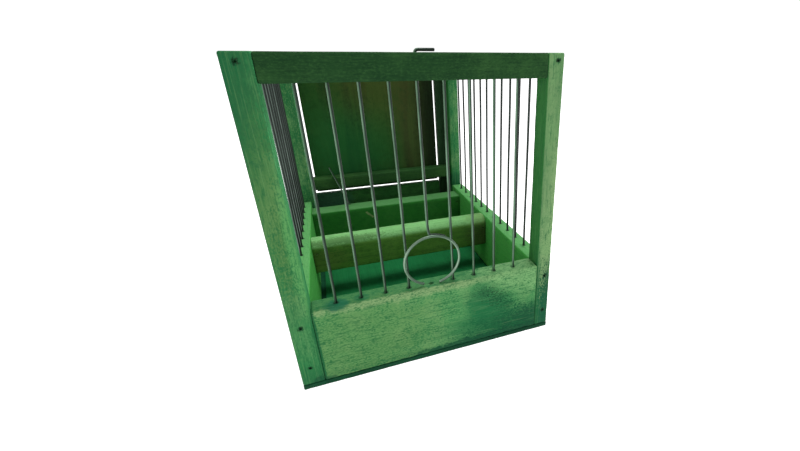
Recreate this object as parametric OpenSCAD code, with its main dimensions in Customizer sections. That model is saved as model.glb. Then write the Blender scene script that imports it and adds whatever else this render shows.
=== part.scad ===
// Small wooden bird cage with wire bars, a pull-out floor tray, a rear door
// and a lifting drinker ring in the front bars.
// x runs to the right and y to the back, both from the middle of the floor.
// z runs up from the underside of the base board.

/* [Cage body] */
// Width over the two front posts
cage_w = 151.8; // [140:0.1:200]
// Depth from the front face to the back face of the posts
cage_d = 195; // [180:0.5:260]
// Height to the top of the posts
cage_h = 170; // [150:0.5:260]
// Thickness of the base board
base_t = 3.2; // [2:0.1:8]
// Softening of every sawn edge
edge_r = 0.6; // [0.2:0.1:1.2]

/* [Posts] */
// Width of the front left post
post_left_w = 11.5; // [9:0.1:16]
// Width of the back left post
post_back_left_w = 13.5; // [9:0.1:16]
// Width of the right posts
post_right_w = 9.3; // [8:0.1:16]
// Depth of all four posts
post_d = 12.5; // [11:0.1:18]

/* [Rails] */
// Height of the front and side bottom rails
rail_h = 45.2; // [38:0.1:60]
// Thickness of the front rails, top and bottom
front_rail_t = 12.4; // [10:0.1:18]
// Thickness of the side rails, top and bottom
side_rail_t = 10.8; // [8:0.1:16]
// How far the right side rails stand out past the right posts
side_rail_proud = 1.6; // [0:0.1:4]
// Height of the top rails
top_rail_h = 12; // [10:0.1:20]
// Thickness of the rear rails
rear_rail_t = 10.5; // [8:0.1:12]
// Height of the rear rail under the door
batten_h = 10.4; // [6:0.1:16]
// Underside of the rear rail above the ground
batten_z = 57; // [52:0.5:90]

/* [Cross bars] */
// Depth of each cross bar from front to back
cross_bar_d = 16; // [10:0.5:24]
// Height of each cross bar
cross_bar_h = 24.4; // [16:0.1:30]
// Rounding of the front cross bar's upper edges
cross_bar_r = 6.8; // [1:0.1:7.8]
// Rounding of the rear cross bar's upper edges
rear_cross_r = 1.5; // [0.6:0.1:7.8]
// Face of the front cross bar, from the front of the cage
front_cross_y = 88.8; // [60:0.5:120]
// Gap between the rear cross bar and the back posts' line
rear_cross_gap = 8.5; // [0.5:0.1:20]
// How far the rear cross bar lies below the rails' top
rear_cross_drop = 3.4; // [0:0.1:6]

/* [Bars] */
// Thickness of the wire
wire_d = 1.5; // [1:0.1:2.4]
// Distance between the front bars
bar_pitch = 13; // [10:0.1:20]
// First front bar, from the inner face of the left post
bar_first = 12.5; // [6:0.1:16]
// Bars' line behind the front face
bar_line_y = 5.5; // [5:0.1:6.5]
// Distance between the side bars
side_pitch = 13.8; // [10:0.1:20]
// First side bar, from the back of the front post
side_first = 17.9; // [12:0.1:24]
// Least distance from the last side bar to the back post
side_last = 10; // [4:0.5:20]
// Depth of the wire holes in the wood
socket_depth = 8; // [4:0.5:8]
// Depth of the roof wires' holes
roof_socket = 5; // [3:0.5:6]

/* [Drinker ring] */
// Outer width of the ring
ring_d = 32.5; // [26:0.5:40]
// Thickness of the ring's wire
ring_wire_d = 1.5; // [1:0.1:2]
// Ring's centre to the right of its bar
ring_shift = 0.8; // [0:0.1:2]
// Opening of the ring left of its lowest point, in degrees
ring_open_left = 20; // [12:1:40]
// Opening of the ring right of its lowest point, in degrees
ring_open_right = 13; // [10:1:40]
// Forward lean of the ring, in degrees
ring_lean = 5; // [0:0.5:6]
// Length of the bar's bent foot along the ring, in degrees
foot_turn = 34; // [8:1:50]
// Height of the bend between the bar and its foot
bend_h = 3.5; // [3:0.1:6]
// Length of the stop bent over at the top of the lifting bar
stop_l = 7; // [4:0.5:12]

/* [Rear door] */
// Thickness of the door, its hinge stile and the tray's end board
board_t = 6; // [4:0.5:10]
// Left edge of the door, from the inner face of the back left post
door_gap = 3.5; // [2:0.1:8]
// Width of the hinge stile
stile_w = 9.5; // [6:0.1:12]
// Slit between the door and the hinge stile
stile_gap = 2.2; // [2:0.1:6]
// How far the hinge stile laps over the right back post
stile_lap = 0.5; // [0.2:0.1:2]
// How far the door reaches below the rear rail's underside
door_drop = 4.3; // [0:0.1:6]
// Top edge of the door, below the top of the posts
door_top = 5; // [1:0.5:8]
// Thickness of the hinge plates
hinge_t = 0.8; // [0.5:0.1:1.2]
// Height of each hinge
hinge_h = 9; // [8:0.5:30]
// Hinges' distance from the door's upper and lower edges
hinge_inset = 2.5; // [1:0.5:20]
// Width of a hinge plate on the door
hinge_w = 9; // [7:0.5:14]
// Width of a hinge plate on the stile
stile_plate_w = 5.5; // [5:0.1:6]
// Diameter of the hinge pins
hinge_pin_d = 1.6; // [1.2:0.1:2]
// Wall of the hinge knuckles round the pin
knuckle_wall = 0.8; // [0.6:0.1:1.2]

/* [Turn button] */
// Length of the button from its screw to its long end
button_l = 18; // [15:0.5:24]
// Width of the button
button_w = 7; // [6:0.5:9]
// Thickness of the button
button_t = 2.4; // [1.6:0.1:4]
// Height of the block under the button
block_h = 18; // [12:0.5:30]
// Diameter of the button's screw
screw_d = 2; // [1.6:0.1:2.6]

/* [Floor tray] */
// Thickness of the tray's sheet
tray_t = 1.2; // [0.8:0.1:2]
// Gap on each side of the sheet
tray_gap = 0.8; // [0.4:0.1:2]
// Left edge of the end board, from the inner face of the back left post
end_left = 0.6; // [0.4:0.1:8]
// Slit between the end board and the hinge stile
end_side_gap = 0.6; // [0.4:0.1:4]
// Slit between the end board and the door above it
end_gap = 2.4; // [1:0.1:10]

/* [Leaning wire] */
// Thickness of the wire that leans over the rear rail
prop_d = 1.2; // [0.8:0.1:1.6]
// Foot of the leaning wire, from the cage's left face
prop_foot_x = 42.3; // [20:0.1:70]
// Foot of the leaning wire, from the rear cross bar's back edge
prop_inset = 1.9; // [1.5:0.1:6]
// Place where it crosses the rear rail, from the cage's left face
prop_over_x = 33.5; // [20:0.1:60]

/* [Nails] */
// Diameter of the nails
nail_d = 1.3; // [1:0.1:1.6]
// Length of the nails
nail_l = 22; // [18:0.5:24]
// Depth of a nail's head below the wood's face
nail_sink = 0.8; // [0.3:0.1:1.5]
// Reach of the base board's nails past the board
base_nail_grip = 14; // [8:0.5:20]
// Reach of the hinge stile's nails past the stile
stile_nail_grip = 4; // [3:0.5:8]
// Length of the slanted nails in the cross bars
toe_l = 10; // [8:0.5:12]
// Slanted nails' heads, from the ends of the cross bars
toe_inset = 2.8; // [2.4:0.1:4]

/* [Hidden] */
$fn = 48;

GREEN = "#4f8a45";
DARK_GREEN = "#2c5b33";
OLIVE = "#63843f";
TEAL = "#16603f";
DOOR_GREEN = "#24381f";
WIRE = "#8c918c";
NAIL = "#3c3f3a";
BRASS = "#a88a45";

// Clearances and overshoots of the cuts
wire_clear = 0.05;
pin_clear = 0.05;
rest_gap = 0.25;
slide_gap = 0.3;
cut = 1;

// Heights
rail_top = base_t + rail_h;
top_rail_z = cage_h - top_rail_h;

// Faces across the width, from the cage's left face
left_in = post_left_w;
back_left_in = post_back_left_w;
right_in = cage_w - post_right_w;
side_left_in = side_rail_t;
side_right_in = cage_w + side_rail_proud - side_rail_t;
side_left_mid = side_rail_t / 2;
side_right_mid = side_right_in + side_rail_t / 2;
front_span = right_in - left_in;
back_span = right_in - back_left_in;

// Faces along the depth, from the cage's front face
back_post_y = cage_d - post_d;
side_span = back_post_y - post_d;
rear_rail_y = cage_d - rear_rail_t;
rear_cross_y = back_post_y - rear_cross_gap - cross_bar_d;

// Bars. The side bars' holes stay clear of the nails in the rails' ends.
nail_reach = nail_l + nail_sink + wire_d - post_d;
side_start = max(side_first, nail_reach);
side_end = max(side_last, nail_reach);
bars_n = floor((front_span - 2 * bar_first) / bar_pitch) + 1;
lift_index = floor(bars_n / 2);
side_bars_n = floor((side_span - side_start - side_end) / side_pitch) + 1;
bar_z = rail_top - socket_depth;
bar_l = top_rail_z + socket_depth - bar_z;
roof_z = top_rail_z + top_rail_h / 2;
roof_y = front_rail_t - roof_socket;
roof_l = rear_rail_y + roof_socket - roof_y;

function bar_x(i) = left_in + bar_first + i * bar_pitch;
function side_bar_y(i) = post_d + side_start + i * side_pitch;
function roof_x(i) = bar_x(i) + bar_pitch / 2;
bar_indices = [for (i = [0 : bars_n - 1]) if (i != lift_index) i];
roof_indices = [-1 : bars_n - 1];

// Drinker ring: the ring lies in front of the bars and rests on the front rail
ring_r = (ring_d - ring_wire_d) / 2;
ring_x = bar_x(lift_index) + ring_shift;
ring_y = bar_line_y - wire_d / 2 - ring_wire_d / 2 - slide_gap;
ring_foot_z = rail_top + rest_gap + ring_wire_d / 2;
ring_rise = ring_r * cos(min(ring_open_left, ring_open_right));
foot_back = (ring_wire_d + wire_d) / 2 + wire_clear;
foot_start = acos(-ring_shift / ring_r);
foot_start_up = ring_rise + ring_r * sin(foot_start);
bend_y = ring_y + foot_back * cos(ring_lean) - foot_start_up * sin(ring_lean);
bend_z = ring_foot_z + foot_back * sin(ring_lean) + foot_start_up * cos(ring_lean);
bend_swell = 0.06;

// Rear door
door_x = back_left_in + door_gap;
stile_x = right_in + stile_lap - stile_w;
door_w = stile_x - stile_gap - door_x;
door_z = batten_z - door_drop;
door_h = cage_h - door_top - door_z;
door_back = cage_d + board_t;
knuckle_r = hinge_pin_d / 2 + pin_clear + knuckle_wall;
hinge_x = stile_x - stile_gap / 2;
hinge_y = door_back + knuckle_r;
hinge_zs = [door_z + hinge_inset, door_z + door_h - hinge_inset - hinge_h];
knuckle_h = hinge_h / 3;
knuckle_play = 0.15;
strap_l = knuckle_r + slide_gap;
plate_nail_l = 0.7 * board_t;
plate_nail_head = 0.5;
stile_plate_x = hinge_x + strap_l + stile_plate_w / 2;
door_plate_x = hinge_x - strap_l - hinge_w / 2;

// Turn button
button_x = post_back_left_w / 2;
button_z = door_z + door_h / 2;
button_y = door_back + rest_gap;
button_tail = button_w / 2;
button_clear = 0.05;
screw_head_d = 5;
screw_head_h = 1.4;
head_gap = 0.1;
screw_into = 0.6 * post_d;
screw_l = button_t + rest_gap + board_t + screw_into;

// Floor tray
tray_x = max(left_in, back_left_in, side_left_in) + tray_gap;
tray_w = min(right_in, side_right_in) - tray_gap - tray_x;
tray_y = front_rail_t + rest_gap;
tray_z = base_t + 0.1;
stile_z = tray_z + tray_t + slide_gap;
tray_groove = board_t / 2;
groove_clear = 0.05;
end_x = back_left_in + end_left;
end_w = stile_x - end_side_gap - end_x;
end_z = 0.6;
end_top = door_z - end_gap;

// Leaning wire: it stands in the rear cross bar's top and leans over the rear rail
prop_foot = [prop_foot_x, rear_cross_y + cross_bar_d - prop_inset, rail_top - rear_cross_drop];
prop_over = [prop_over_x, rear_rail_y, batten_z + batten_h];
prop_past = 0.36;
prop_socket = 5;

// Nails. Each spot is the place of the head on its face.
low_nail = 0.24;
high_nail = 0.82;
front_nail_zs = [
    base_t + rail_h * low_nail, base_t + rail_h * high_nail, top_rail_z + top_rail_h * 0.7
];
front_side_nail_zs = [base_t + rail_h * 0.42, base_t + rail_h * 0.62, top_rail_z + top_rail_h * 0.25];
front_side_nail_y = front_rail_t * 0.75;
rear_side_nail_zs = [batten_z + batten_h * 0.3, top_rail_z + top_rail_h * 0.25];
stile_nail_zs = [batten_z + batten_h * 0.75, top_rail_z + (top_rail_h - door_top) * 0.75];
stile_nail_x = right_in - 1.4;
stile_nail_l = board_t + stile_nail_grip;
base_nail_l = base_t + base_nail_grip;
base_nail_ys = [0.2, 0.5, 0.8];
toe_z = bar_z - nail_d;
nail_clear = 0.03;

// Moves to a place measured from the cage's front left corner at ground level.
module place(x, y, z) {
    translate([x - cage_w / 2, y - cage_d / 2, z]) children();
}

// A rectangle with softened corners.
module soft_rect(a, b, r) {
    steps = 4;
    corners = [[a - r, b - r, 0], [r, b - r, 90], [r, r, 180], [a - r, r, 270]];
    polygon([
        for (c = corners, s = [0 : steps])
            [c[0] + r * cos(c[2] + s * 90 / steps), c[1] + r * sin(c[2] + s * 90 / steps)]
    ]);
}

// Sawn lengths of wood with softened long edges, along x, y and z.
module wood_x(l, d, h, r = edge_r) {
    rotate([90, 0, 90]) linear_extrude(l) soft_rect(d, h, r);
}

module wood_y(w, l, h, r = edge_r) {
    translate([0, l, 0]) rotate([90, 0, 0]) linear_extrude(l) soft_rect(w, h, r);
}

module wood_z(w, d, h, r = edge_r) {
    linear_extrude(h) soft_rect(w, d, r);
}

// A straight piece of wire between two points.
module rod(from, to, d) {
    run = to - from;
    flat = norm([run[0], run[1]]);
    translate(from)
        rotate([0, atan2(flat, run[2]), atan2(run[1], run[0])])
            cylinder(h = norm(run), d = d);
}

// Round wires or their holes, standing up from z = 0.
module upright(d, h) {
    cylinder(h = h, d = d);
}

// ---- Nails ----

// One nail or its hole. It is driven along dir from a head spot on the surface.
module nail(spot, dir, l, hole) {
    start = hole ? spot - dir * cut : spot + dir * nail_sink;
    end = spot + dir * (nail_sink + l);
    rod(start, end, nail_d + (hole ? 2 * nail_clear : 0));
}

// Nails from the posts' front faces into the side rails.
module front_face_nails(hole = false) {
    place(0, 0, 0)
        for (x = [side_left_mid, side_right_mid], z = front_nail_zs)
            nail([x, 0, z], [0, 1, 0], nail_l, hole);
}

// Nails from the posts' back faces into the side rails.
module back_face_nails(hole = false) {
    place(0, 0, 0)
        for (x = [side_left_mid, side_right_mid], z = front_nail_zs)
            nail([x, cage_d, z], [0, -1, 0], nail_l, hole);
}

// Nails from the posts' outer faces into the front and rear rails.
module side_face_nails(hole = false) {
    place(0, 0, 0) {
        for (z = front_side_nail_zs) {
            nail([0, front_side_nail_y, z], [1, 0, 0], nail_l, hole);
            nail([cage_w, front_side_nail_y, z], [-1, 0, 0], nail_l, hole);
        }
        for (z = rear_side_nail_zs) {
            nail([0, rear_rail_y + rear_rail_t / 2, z], [1, 0, 0], nail_l, hole);
            nail([cage_w, rear_rail_y + rear_rail_t / 2, z], [-1, 0, 0], nail_l, hole);
        }
    }
}

// Nails up through the base board into the bottom rails.
module base_nails(hole = false) {
    place(0, 0, 0) {
        for (part = base_nail_ys) {
            nail([side_left_mid, post_d + side_span * part, 0], [0, 0, 1], base_nail_l, hole);
            nail([side_right_mid, post_d + side_span * part, 0], [0, 0, 1], base_nail_l, hole);
        }
        for (part = [0.3, 0.7])
            nail([left_in + front_span * part, front_rail_t / 2, 0], [0, 0, 1], base_nail_l, hole);
    }
}

// Slanted nails from the cross bars' faces into the side rails.
module cross_bar_nails(hole = false) {
    place(0, 0, 0)
        for (y = [front_cross_y, rear_cross_y]) {
            nail([side_left_in + toe_inset, y, toe_z], [-sin(45), cos(45), 0], toe_l, hole);
            nail([side_right_in - toe_inset, y, toe_z], [sin(45), cos(45), 0], toe_l, hole);
        }
}

// Nails through the hinge stile into the rear rails.
module stile_nails(hole = false) {
    place(0, 0, 0)
        for (z = stile_nail_zs)
            nail([stile_nail_x, door_back, z], [0, -1, 0], stile_nail_l, hole);
}

module nails_front() {
    color(NAIL) front_face_nails();
}

module nails_back() {
    color(NAIL) back_face_nails();
}

module nails_side() {
    color(NAIL) side_face_nails();
}

module nails_base() {
    color(NAIL) base_nails();
}

module nails_cross_bars() {
    color(NAIL) cross_bar_nails();
}

module nails_stile() {
    color(NAIL) stile_nails();
}

// ---- Frame ----

module base_board() {
    color(TEAL)
        difference() {
            place(0, 0, 0) wood_x(cage_w, cage_d, base_t, min(edge_r, base_t / 3));
            base_nails(hole = true);
        }
}

// A post at one corner, drilled for the nails in it.
module post(x, y, w) {
    color(GREEN)
        difference() {
            place(x, y, base_t) wood_z(w, post_d, cage_h - base_t);
            front_face_nails(hole = true);
            back_face_nails(hole = true);
            side_face_nails(hole = true);
            button_screw_hole();
        }
}

module post_front_left() {
    post(0, 0, post_left_w);
}

module post_front_right() {
    post(right_in, 0, post_right_w);
}

module post_back_left() {
    post(0, back_post_y, post_back_left_w);
}

module post_back_right() {
    post(right_in, back_post_y, post_right_w);
}

// Holes for the feet or heads of every front bar.
module front_bar_sockets() {
    for (i = [0 : bars_n - 1])
        place(bar_x(i), bar_line_y, bar_z)
            upright(wire_d + 2 * wire_clear, bar_l);
}

module front_rail() {
    color(GREEN)
        difference() {
            place(left_in, 0, base_t) wood_x(front_span, front_rail_t, rail_h);
            front_bar_sockets();
            side_face_nails(hole = true);
            base_nails(hole = true);
        }
}

// The lifting bar runs right through this rail.
module top_front_rail() {
    color(DARK_GREEN)
        difference() {
            place(left_in, 0, top_rail_z) wood_x(front_span, front_rail_t, top_rail_h);
            front_bar_sockets();
            place(bar_x(lift_index), bar_line_y, top_rail_z - cut)
                upright(wire_d + 2 * wire_clear, top_rail_h + 2 * cut);
            roof_sockets();
            side_face_nails(hole = true);
        }
}

// Side rail at the given left face, height and place above the ground.
module side_rail(x, z, h) {
    difference() {
        place(x, post_d, z) wood_y(side_rail_t, side_span, h);
        side_bar_sockets(x + side_rail_t / 2);
        front_face_nails(hole = true);
        back_face_nails(hole = true);
        base_nails(hole = true);
        cross_bar_nails(hole = true);
    }
}

module side_bar_sockets(x) {
    for (i = [0 : side_bars_n - 1])
        place(x, side_bar_y(i), bar_z)
            upright(wire_d + 2 * wire_clear, bar_l);
}

module side_rail_left() {
    color(GREEN) side_rail(0, base_t, rail_h);
}

module side_rail_right() {
    color(GREEN) side_rail(side_right_in, base_t, rail_h);
}

module top_side_rail_left() {
    color(DARK_GREEN) side_rail(0, top_rail_z, top_rail_h);
}

module top_side_rail_right() {
    color(DARK_GREEN) side_rail(side_right_in, top_rail_z, top_rail_h);
}

module top_back_rail() {
    color(DARK_GREEN)
        difference() {
            place(back_left_in, rear_rail_y, top_rail_z) wood_x(back_span, rear_rail_t, top_rail_h);
            roof_sockets();
            side_face_nails(hole = true);
            stile_nails(hole = true);
        }
}

module door_batten() {
    color(GREEN)
        difference() {
            place(back_left_in, rear_rail_y, batten_z) wood_x(back_span, rear_rail_t, batten_h);
            side_face_nails(hole = true);
            stile_nails(hole = true);
        }
}

// Outline of a cross bar seen from its end: square below, rounded above.
module cross_bar_outline(rounding) {
    r = min(rounding, cross_bar_d / 2 - 0.1);
    square([cross_bar_d, cross_bar_h - r]);
    translate([r, 0]) square([cross_bar_d - 2 * r, cross_bar_h]);
    for (y = [r, cross_bar_d - r])
        translate([y, cross_bar_h - r]) circle(r);
}

module cross_bar(y, top, r) {
    difference() {
        place(side_left_in, y, top - cross_bar_h)
            rotate([90, 0, 90]) linear_extrude(side_right_in - side_left_in) cross_bar_outline(r);
        cross_bar_nails(hole = true);
    }
}

module cross_bar_front() {
    color(OLIVE) cross_bar(front_cross_y, rail_top, cross_bar_r);
}

module cross_bar_rear() {
    color(DARK_GREEN)
        difference() {
            cross_bar(rear_cross_y, rail_top - rear_cross_drop, rear_cross_r);
            prop_wire(prop_d + 2 * wire_clear);
        }
}

// ---- Wires ----

module front_bars() {
    color(WIRE)
        for (i = bar_indices)
            place(bar_x(i), bar_line_y, bar_z)
                upright(wire_d, bar_l);
}

module side_bars(x) {
    color(WIRE)
        for (i = [0 : side_bars_n - 1])
            place(x, side_bar_y(i), bar_z)
                upright(wire_d, bar_l);
}

module side_bars_left() {
    side_bars(side_left_mid);
}

module side_bars_right() {
    side_bars(side_right_mid);
}

// Round lengths from the top front rail to the top back rail.
module roof_runs(d) {
    for (i = roof_indices)
        place(roof_x(i), roof_y, roof_z)
            rotate([-90, 0, 0]) cylinder(h = roof_l, d = d);
}

module roof_sockets() {
    roof_runs(wire_d + 2 * wire_clear);
}

module roof_wires() {
    color(WIRE) roof_runs(wire_d);
}

// The leaning wire, from its hole in the rear cross bar to its free end.
module prop_wire(d) {
    lean = prop_over - prop_foot;
    lift = [0, -lean[2], lean[1]] / norm([lean[1], lean[2]]) * (prop_d / 2 + slide_gap);
    place(0, 0, 0)
        rod(prop_foot + lift - lean / norm(lean) * prop_socket, prop_over + lift + lean * prop_past, d);
}

module wire_prop() {
    color(WIRE) prop_wire(prop_d);
}

// Moves to the ring's centre. The ring leans forward about its free ends.
module ring_place() {
    place(ring_x, ring_y, ring_foot_z)
        rotate([ring_lean, 0, 0]) translate([0, 0, ring_rise]) children();
}

// A bent length of wire on the ring's circle, up to the angle end over a turn.
module ring_arc(end, turn, d) {
    rotate([90, 0, 0]) rotate(end - turn)
        rotate_extrude(angle = turn) translate([ring_r, 0]) circle(d = d);
}

// The middle bar ends above the ring. Its foot is bent over and lies along the ring's back.
module drinker_bar() {
    bend_from = [bar_x(lift_index), bar_line_y, bend_z + bend_h];
    bend_to = [bar_x(lift_index), bend_y, bend_z];
    stop_from = [bar_x(lift_index), bar_line_y, cage_h + rest_gap + wire_d / 2];
    color(WIRE) {
        place(0, 0, 0) {
            rod(bend_from, stop_from, wire_d);
            rod(bend_from, bend_to, wire_d);
            rod(stop_from, stop_from + [stop_l, 0, 0], wire_d);
            for (joint = [bend_from, bend_to, stop_from])
                translate(joint) sphere(d = wire_d + bend_swell);
        }
        ring_place() translate([0, foot_back, 0]) ring_arc(foot_start, foot_turn, wire_d);
    }
}

module drinker_ring() {
    open = ring_open_left + ring_open_right;
    color(WIRE) ring_place() ring_arc(270 - ring_open_left, 360 - open, ring_wire_d);
}

// ---- Rear door ----

// The stile stands just above the tray's sheet, which slides out under it.
module door_stile() {
    color(TEAL)
        difference() {
            place(stile_x, cage_d, stile_z) wood_z(stile_w, board_t, door_z + door_h - stile_z);
            stile_nails(hole = true);
            hinge_nails(stile_plate_x, hole = true);
        }
}

module door_leaf() {
    color(DOOR_GREEN)
        difference() {
            place(door_x, cage_d, door_z) wood_z(door_w, board_t, door_h);
            hinge_nails(door_plate_x, hole = true);
        }
}

// Short nails through one row of hinge plates.
module hinge_nails(x, hole = false) {
    for (z = hinge_zs, part = [0.22, 0.78])
        place(x, door_back + hinge_t, z + hinge_h * part)
            rotate([90, 0, 0]) {
                cylinder(h = hinge_t + plate_nail_l, d = nail_d + (hole ? 2 * nail_clear : 0));
                if (!hole)
                    translate([0, 0, -plate_nail_head]) cylinder(h = plate_nail_head, d = nail_d * 2);
            }
}

function knuckle_from(third) = third * knuckle_h + (third > 0 ? knuckle_play : 0);
function knuckle_to(third) = (third + 1) * knuckle_h - (third < 2 ? knuckle_play : 0);

// One half of a hinge, to the right of its pin: a plate w wide and the knuckles of the given thirds.
module hinge_half(w, thirds) {
    difference() {
        union() {
            translate([strap_l, -knuckle_r, 0]) cube([w, hinge_t, hinge_h]);
            for (third = thirds) {
                h = knuckle_to(third) - knuckle_from(third);
                translate([0, 0, knuckle_from(third)]) cylinder(h = h, r = knuckle_r);
                translate([0, -knuckle_r, knuckle_from(third)]) cube([strap_l + cut, hinge_t, h]);
            }
        }
        translate([0, 0, -cut])
            cylinder(h = hinge_h + 2 * cut, d = hinge_pin_d + 2 * pin_clear);
    }
}

module hinge_plates_fixed() {
    color(BRASS)
        difference() {
            for (z = hinge_zs)
                place(hinge_x, hinge_y, z) hinge_half(stile_plate_w, [1]);
            hinge_nails(stile_plate_x, hole = true);
        }
}

module hinge_plates_door() {
    color(BRASS)
        difference() {
            for (z = hinge_zs)
                place(hinge_x, hinge_y, z) mirror([1, 0, 0]) hinge_half(hinge_w, [0, 2]);
            hinge_nails(door_plate_x, hole = true);
        }
}

module hinge_pins() {
    color(BRASS)
        for (z = hinge_zs)
            place(hinge_x, hinge_y, z)
                cylinder(h = hinge_h, d = hinge_pin_d);
}

module hinge_nails_fixed() {
    color(BRASS) hinge_nails(stile_plate_x);
}

module hinge_nails_door() {
    color(BRASS) hinge_nails(door_plate_x);
}

// ---- Turn button ----

module button_screw_hole() {
    place(button_x, button_y + button_t, button_z)
        rotate([90, 0, 0]) cylinder(h = screw_l, d = screw_d + 2 * nail_clear);
}

module button_block() {
    color(GREEN)
        difference() {
            place(edge_r, cage_d, button_z - block_h / 2)
                wood_z(post_back_left_w - 2 * edge_r, board_t, block_h);
            button_screw_hole();
        }
}

module turn_button() {
    color(GREEN)
        place(button_x, button_y, button_z)
            rotate([-90, 0, 0])
                difference() {
                    union() {
                        cylinder(h = button_t, d = button_w);
                        translate([-button_w / 2, -button_l + button_tail, 0])
                            cube([button_w, button_l - button_tail, button_t]);
                        translate([0, button_tail - button_l, 0]) cylinder(h = button_t, d = button_w);
                    }
                    translate([0, 0, -cut])
                        cylinder(h = button_t + 2 * cut, d = screw_d + 2 * button_clear);
                }
}

module button_screw() {
    color(BRASS)
        place(button_x, button_y + button_t, button_z)
            rotate([90, 0, 0]) {
                translate([0, 0, -head_gap]) cylinder(h = screw_l + head_gap, d = screw_d);
                translate([0, 0, -screw_head_h - head_gap]) cylinder(h = screw_head_h, d = screw_head_d);
            }
}

// ---- Floor tray ----

// The sheet ends in a tongue that sits in the end board's groove.
module tray_sheet() {
    color(TEAL) {
        place(tray_x, tray_y, tray_z)
            cube([tray_w, cage_d - tray_y, tray_t]);
        place(end_x, cage_d - cut, tray_z)
            cube([end_w, cut + tray_groove - groove_clear, tray_t]);
    }
}

module tray_end_board() {
    color(GREEN)
        difference() {
            place(end_x, cage_d, end_z) wood_x(end_w, board_t, end_top - end_z);
            place(end_x - cut, cage_d - cut, tray_z - groove_clear)
                cube([end_w + 2 * cut, cut + tray_groove, tray_t + 2 * groove_clear]);
        }
}

base_board();
post_front_left();
post_front_right();
post_back_left();
post_back_right();
front_rail();
side_rail_left();
side_rail_right();
top_front_rail();
top_side_rail_left();
top_side_rail_right();
top_back_rail();
door_batten();
cross_bar_front();
cross_bar_rear();
front_bars();
side_bars_left();
side_bars_right();
roof_wires();
wire_prop();
drinker_bar();
drinker_ring();
door_stile();
door_leaf();
hinge_plates_fixed();
hinge_plates_door();
hinge_pins();
hinge_nails_fixed();
hinge_nails_door();
button_block();
turn_button();
button_screw();
tray_sheet();
tray_end_board();
nails_front();
nails_back();
nails_side();
nails_base();
nails_cross_bars();
nails_stile();
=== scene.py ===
import logging
import math
from dataclasses import dataclass, field
from enum import Enum
from typing import Iterable, Optional, Sequence, Union

import bmesh
import bpy
import numpy as np
from mathutils import Matrix, Vector, noise


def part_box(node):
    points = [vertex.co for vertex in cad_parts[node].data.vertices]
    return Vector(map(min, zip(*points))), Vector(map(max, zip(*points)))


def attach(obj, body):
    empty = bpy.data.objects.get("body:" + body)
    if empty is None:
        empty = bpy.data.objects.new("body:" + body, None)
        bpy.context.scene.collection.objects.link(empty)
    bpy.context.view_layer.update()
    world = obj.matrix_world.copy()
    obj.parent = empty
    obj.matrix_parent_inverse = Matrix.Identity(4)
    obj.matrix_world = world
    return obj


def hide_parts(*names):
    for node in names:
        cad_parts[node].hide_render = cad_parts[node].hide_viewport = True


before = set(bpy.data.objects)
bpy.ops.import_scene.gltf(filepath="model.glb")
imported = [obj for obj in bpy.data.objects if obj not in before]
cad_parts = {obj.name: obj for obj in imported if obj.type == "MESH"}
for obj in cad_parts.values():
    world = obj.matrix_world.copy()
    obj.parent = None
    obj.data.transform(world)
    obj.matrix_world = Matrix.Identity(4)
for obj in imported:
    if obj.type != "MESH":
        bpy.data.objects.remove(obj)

LOG = logging.getLogger("cage")
MM = 0.001
# Points nearer to each other than this are one point, and corners are compared to as many decimals.
WELD = 0.001 * MM
DECIMALS = 6
# Without a seed, noise_vector starts at a new place each run.
SWAY_SEED = 7

Colour = tuple[float, float, float, float]
Socket = bpy.types.NodeSocket


def stain(red: int, green: int, blue: int) -> Colour:
    """Turns a colour as a paint chart gives it, 0 to 255, into a linear colour.

    Args:
        red: Red part, 0 to 255.
        green: Green part, 0 to 255.
        blue: Blue part, 0 to 255.

    Returns:
        Linear red, green, blue and full opacity.
    """
    def linear(part: int) -> float:
        """One part on a linear scale."""
        share = part / 255
        return share / 12.92 if share <= 0.04045 else ((share + 0.055) / 1.055) ** 2.4

    return linear(red), linear(green), linear(blue), 1.0


PALE_GREEN = stain(110, 152, 96)
MID_GREEN = stain(72, 134, 78)
DEEP_GREEN = stain(22, 88, 50)
EDGE_GREEN = stain(123, 152, 103)
POST_GREEN = stain(54, 117, 66)
MINT = stain(83, 146, 83)
BLUE_GREEN = stain(18, 81, 48)
DARK_TEAL = stain(14, 66, 43)
OLIVE_BROWN = stain(60, 64, 32)
NIGHT_GREEN = stain(26, 58, 28)
STREAM_GREEN = stain(27, 98, 57)
HOLE_STAIN = stain(9, 47, 30)


class Grain(Enum):
    """Direction in which the wood's fibres run."""

    ALONG_X = 0
    ALONG_Y = 1
    ALONG_Z = 2


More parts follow.
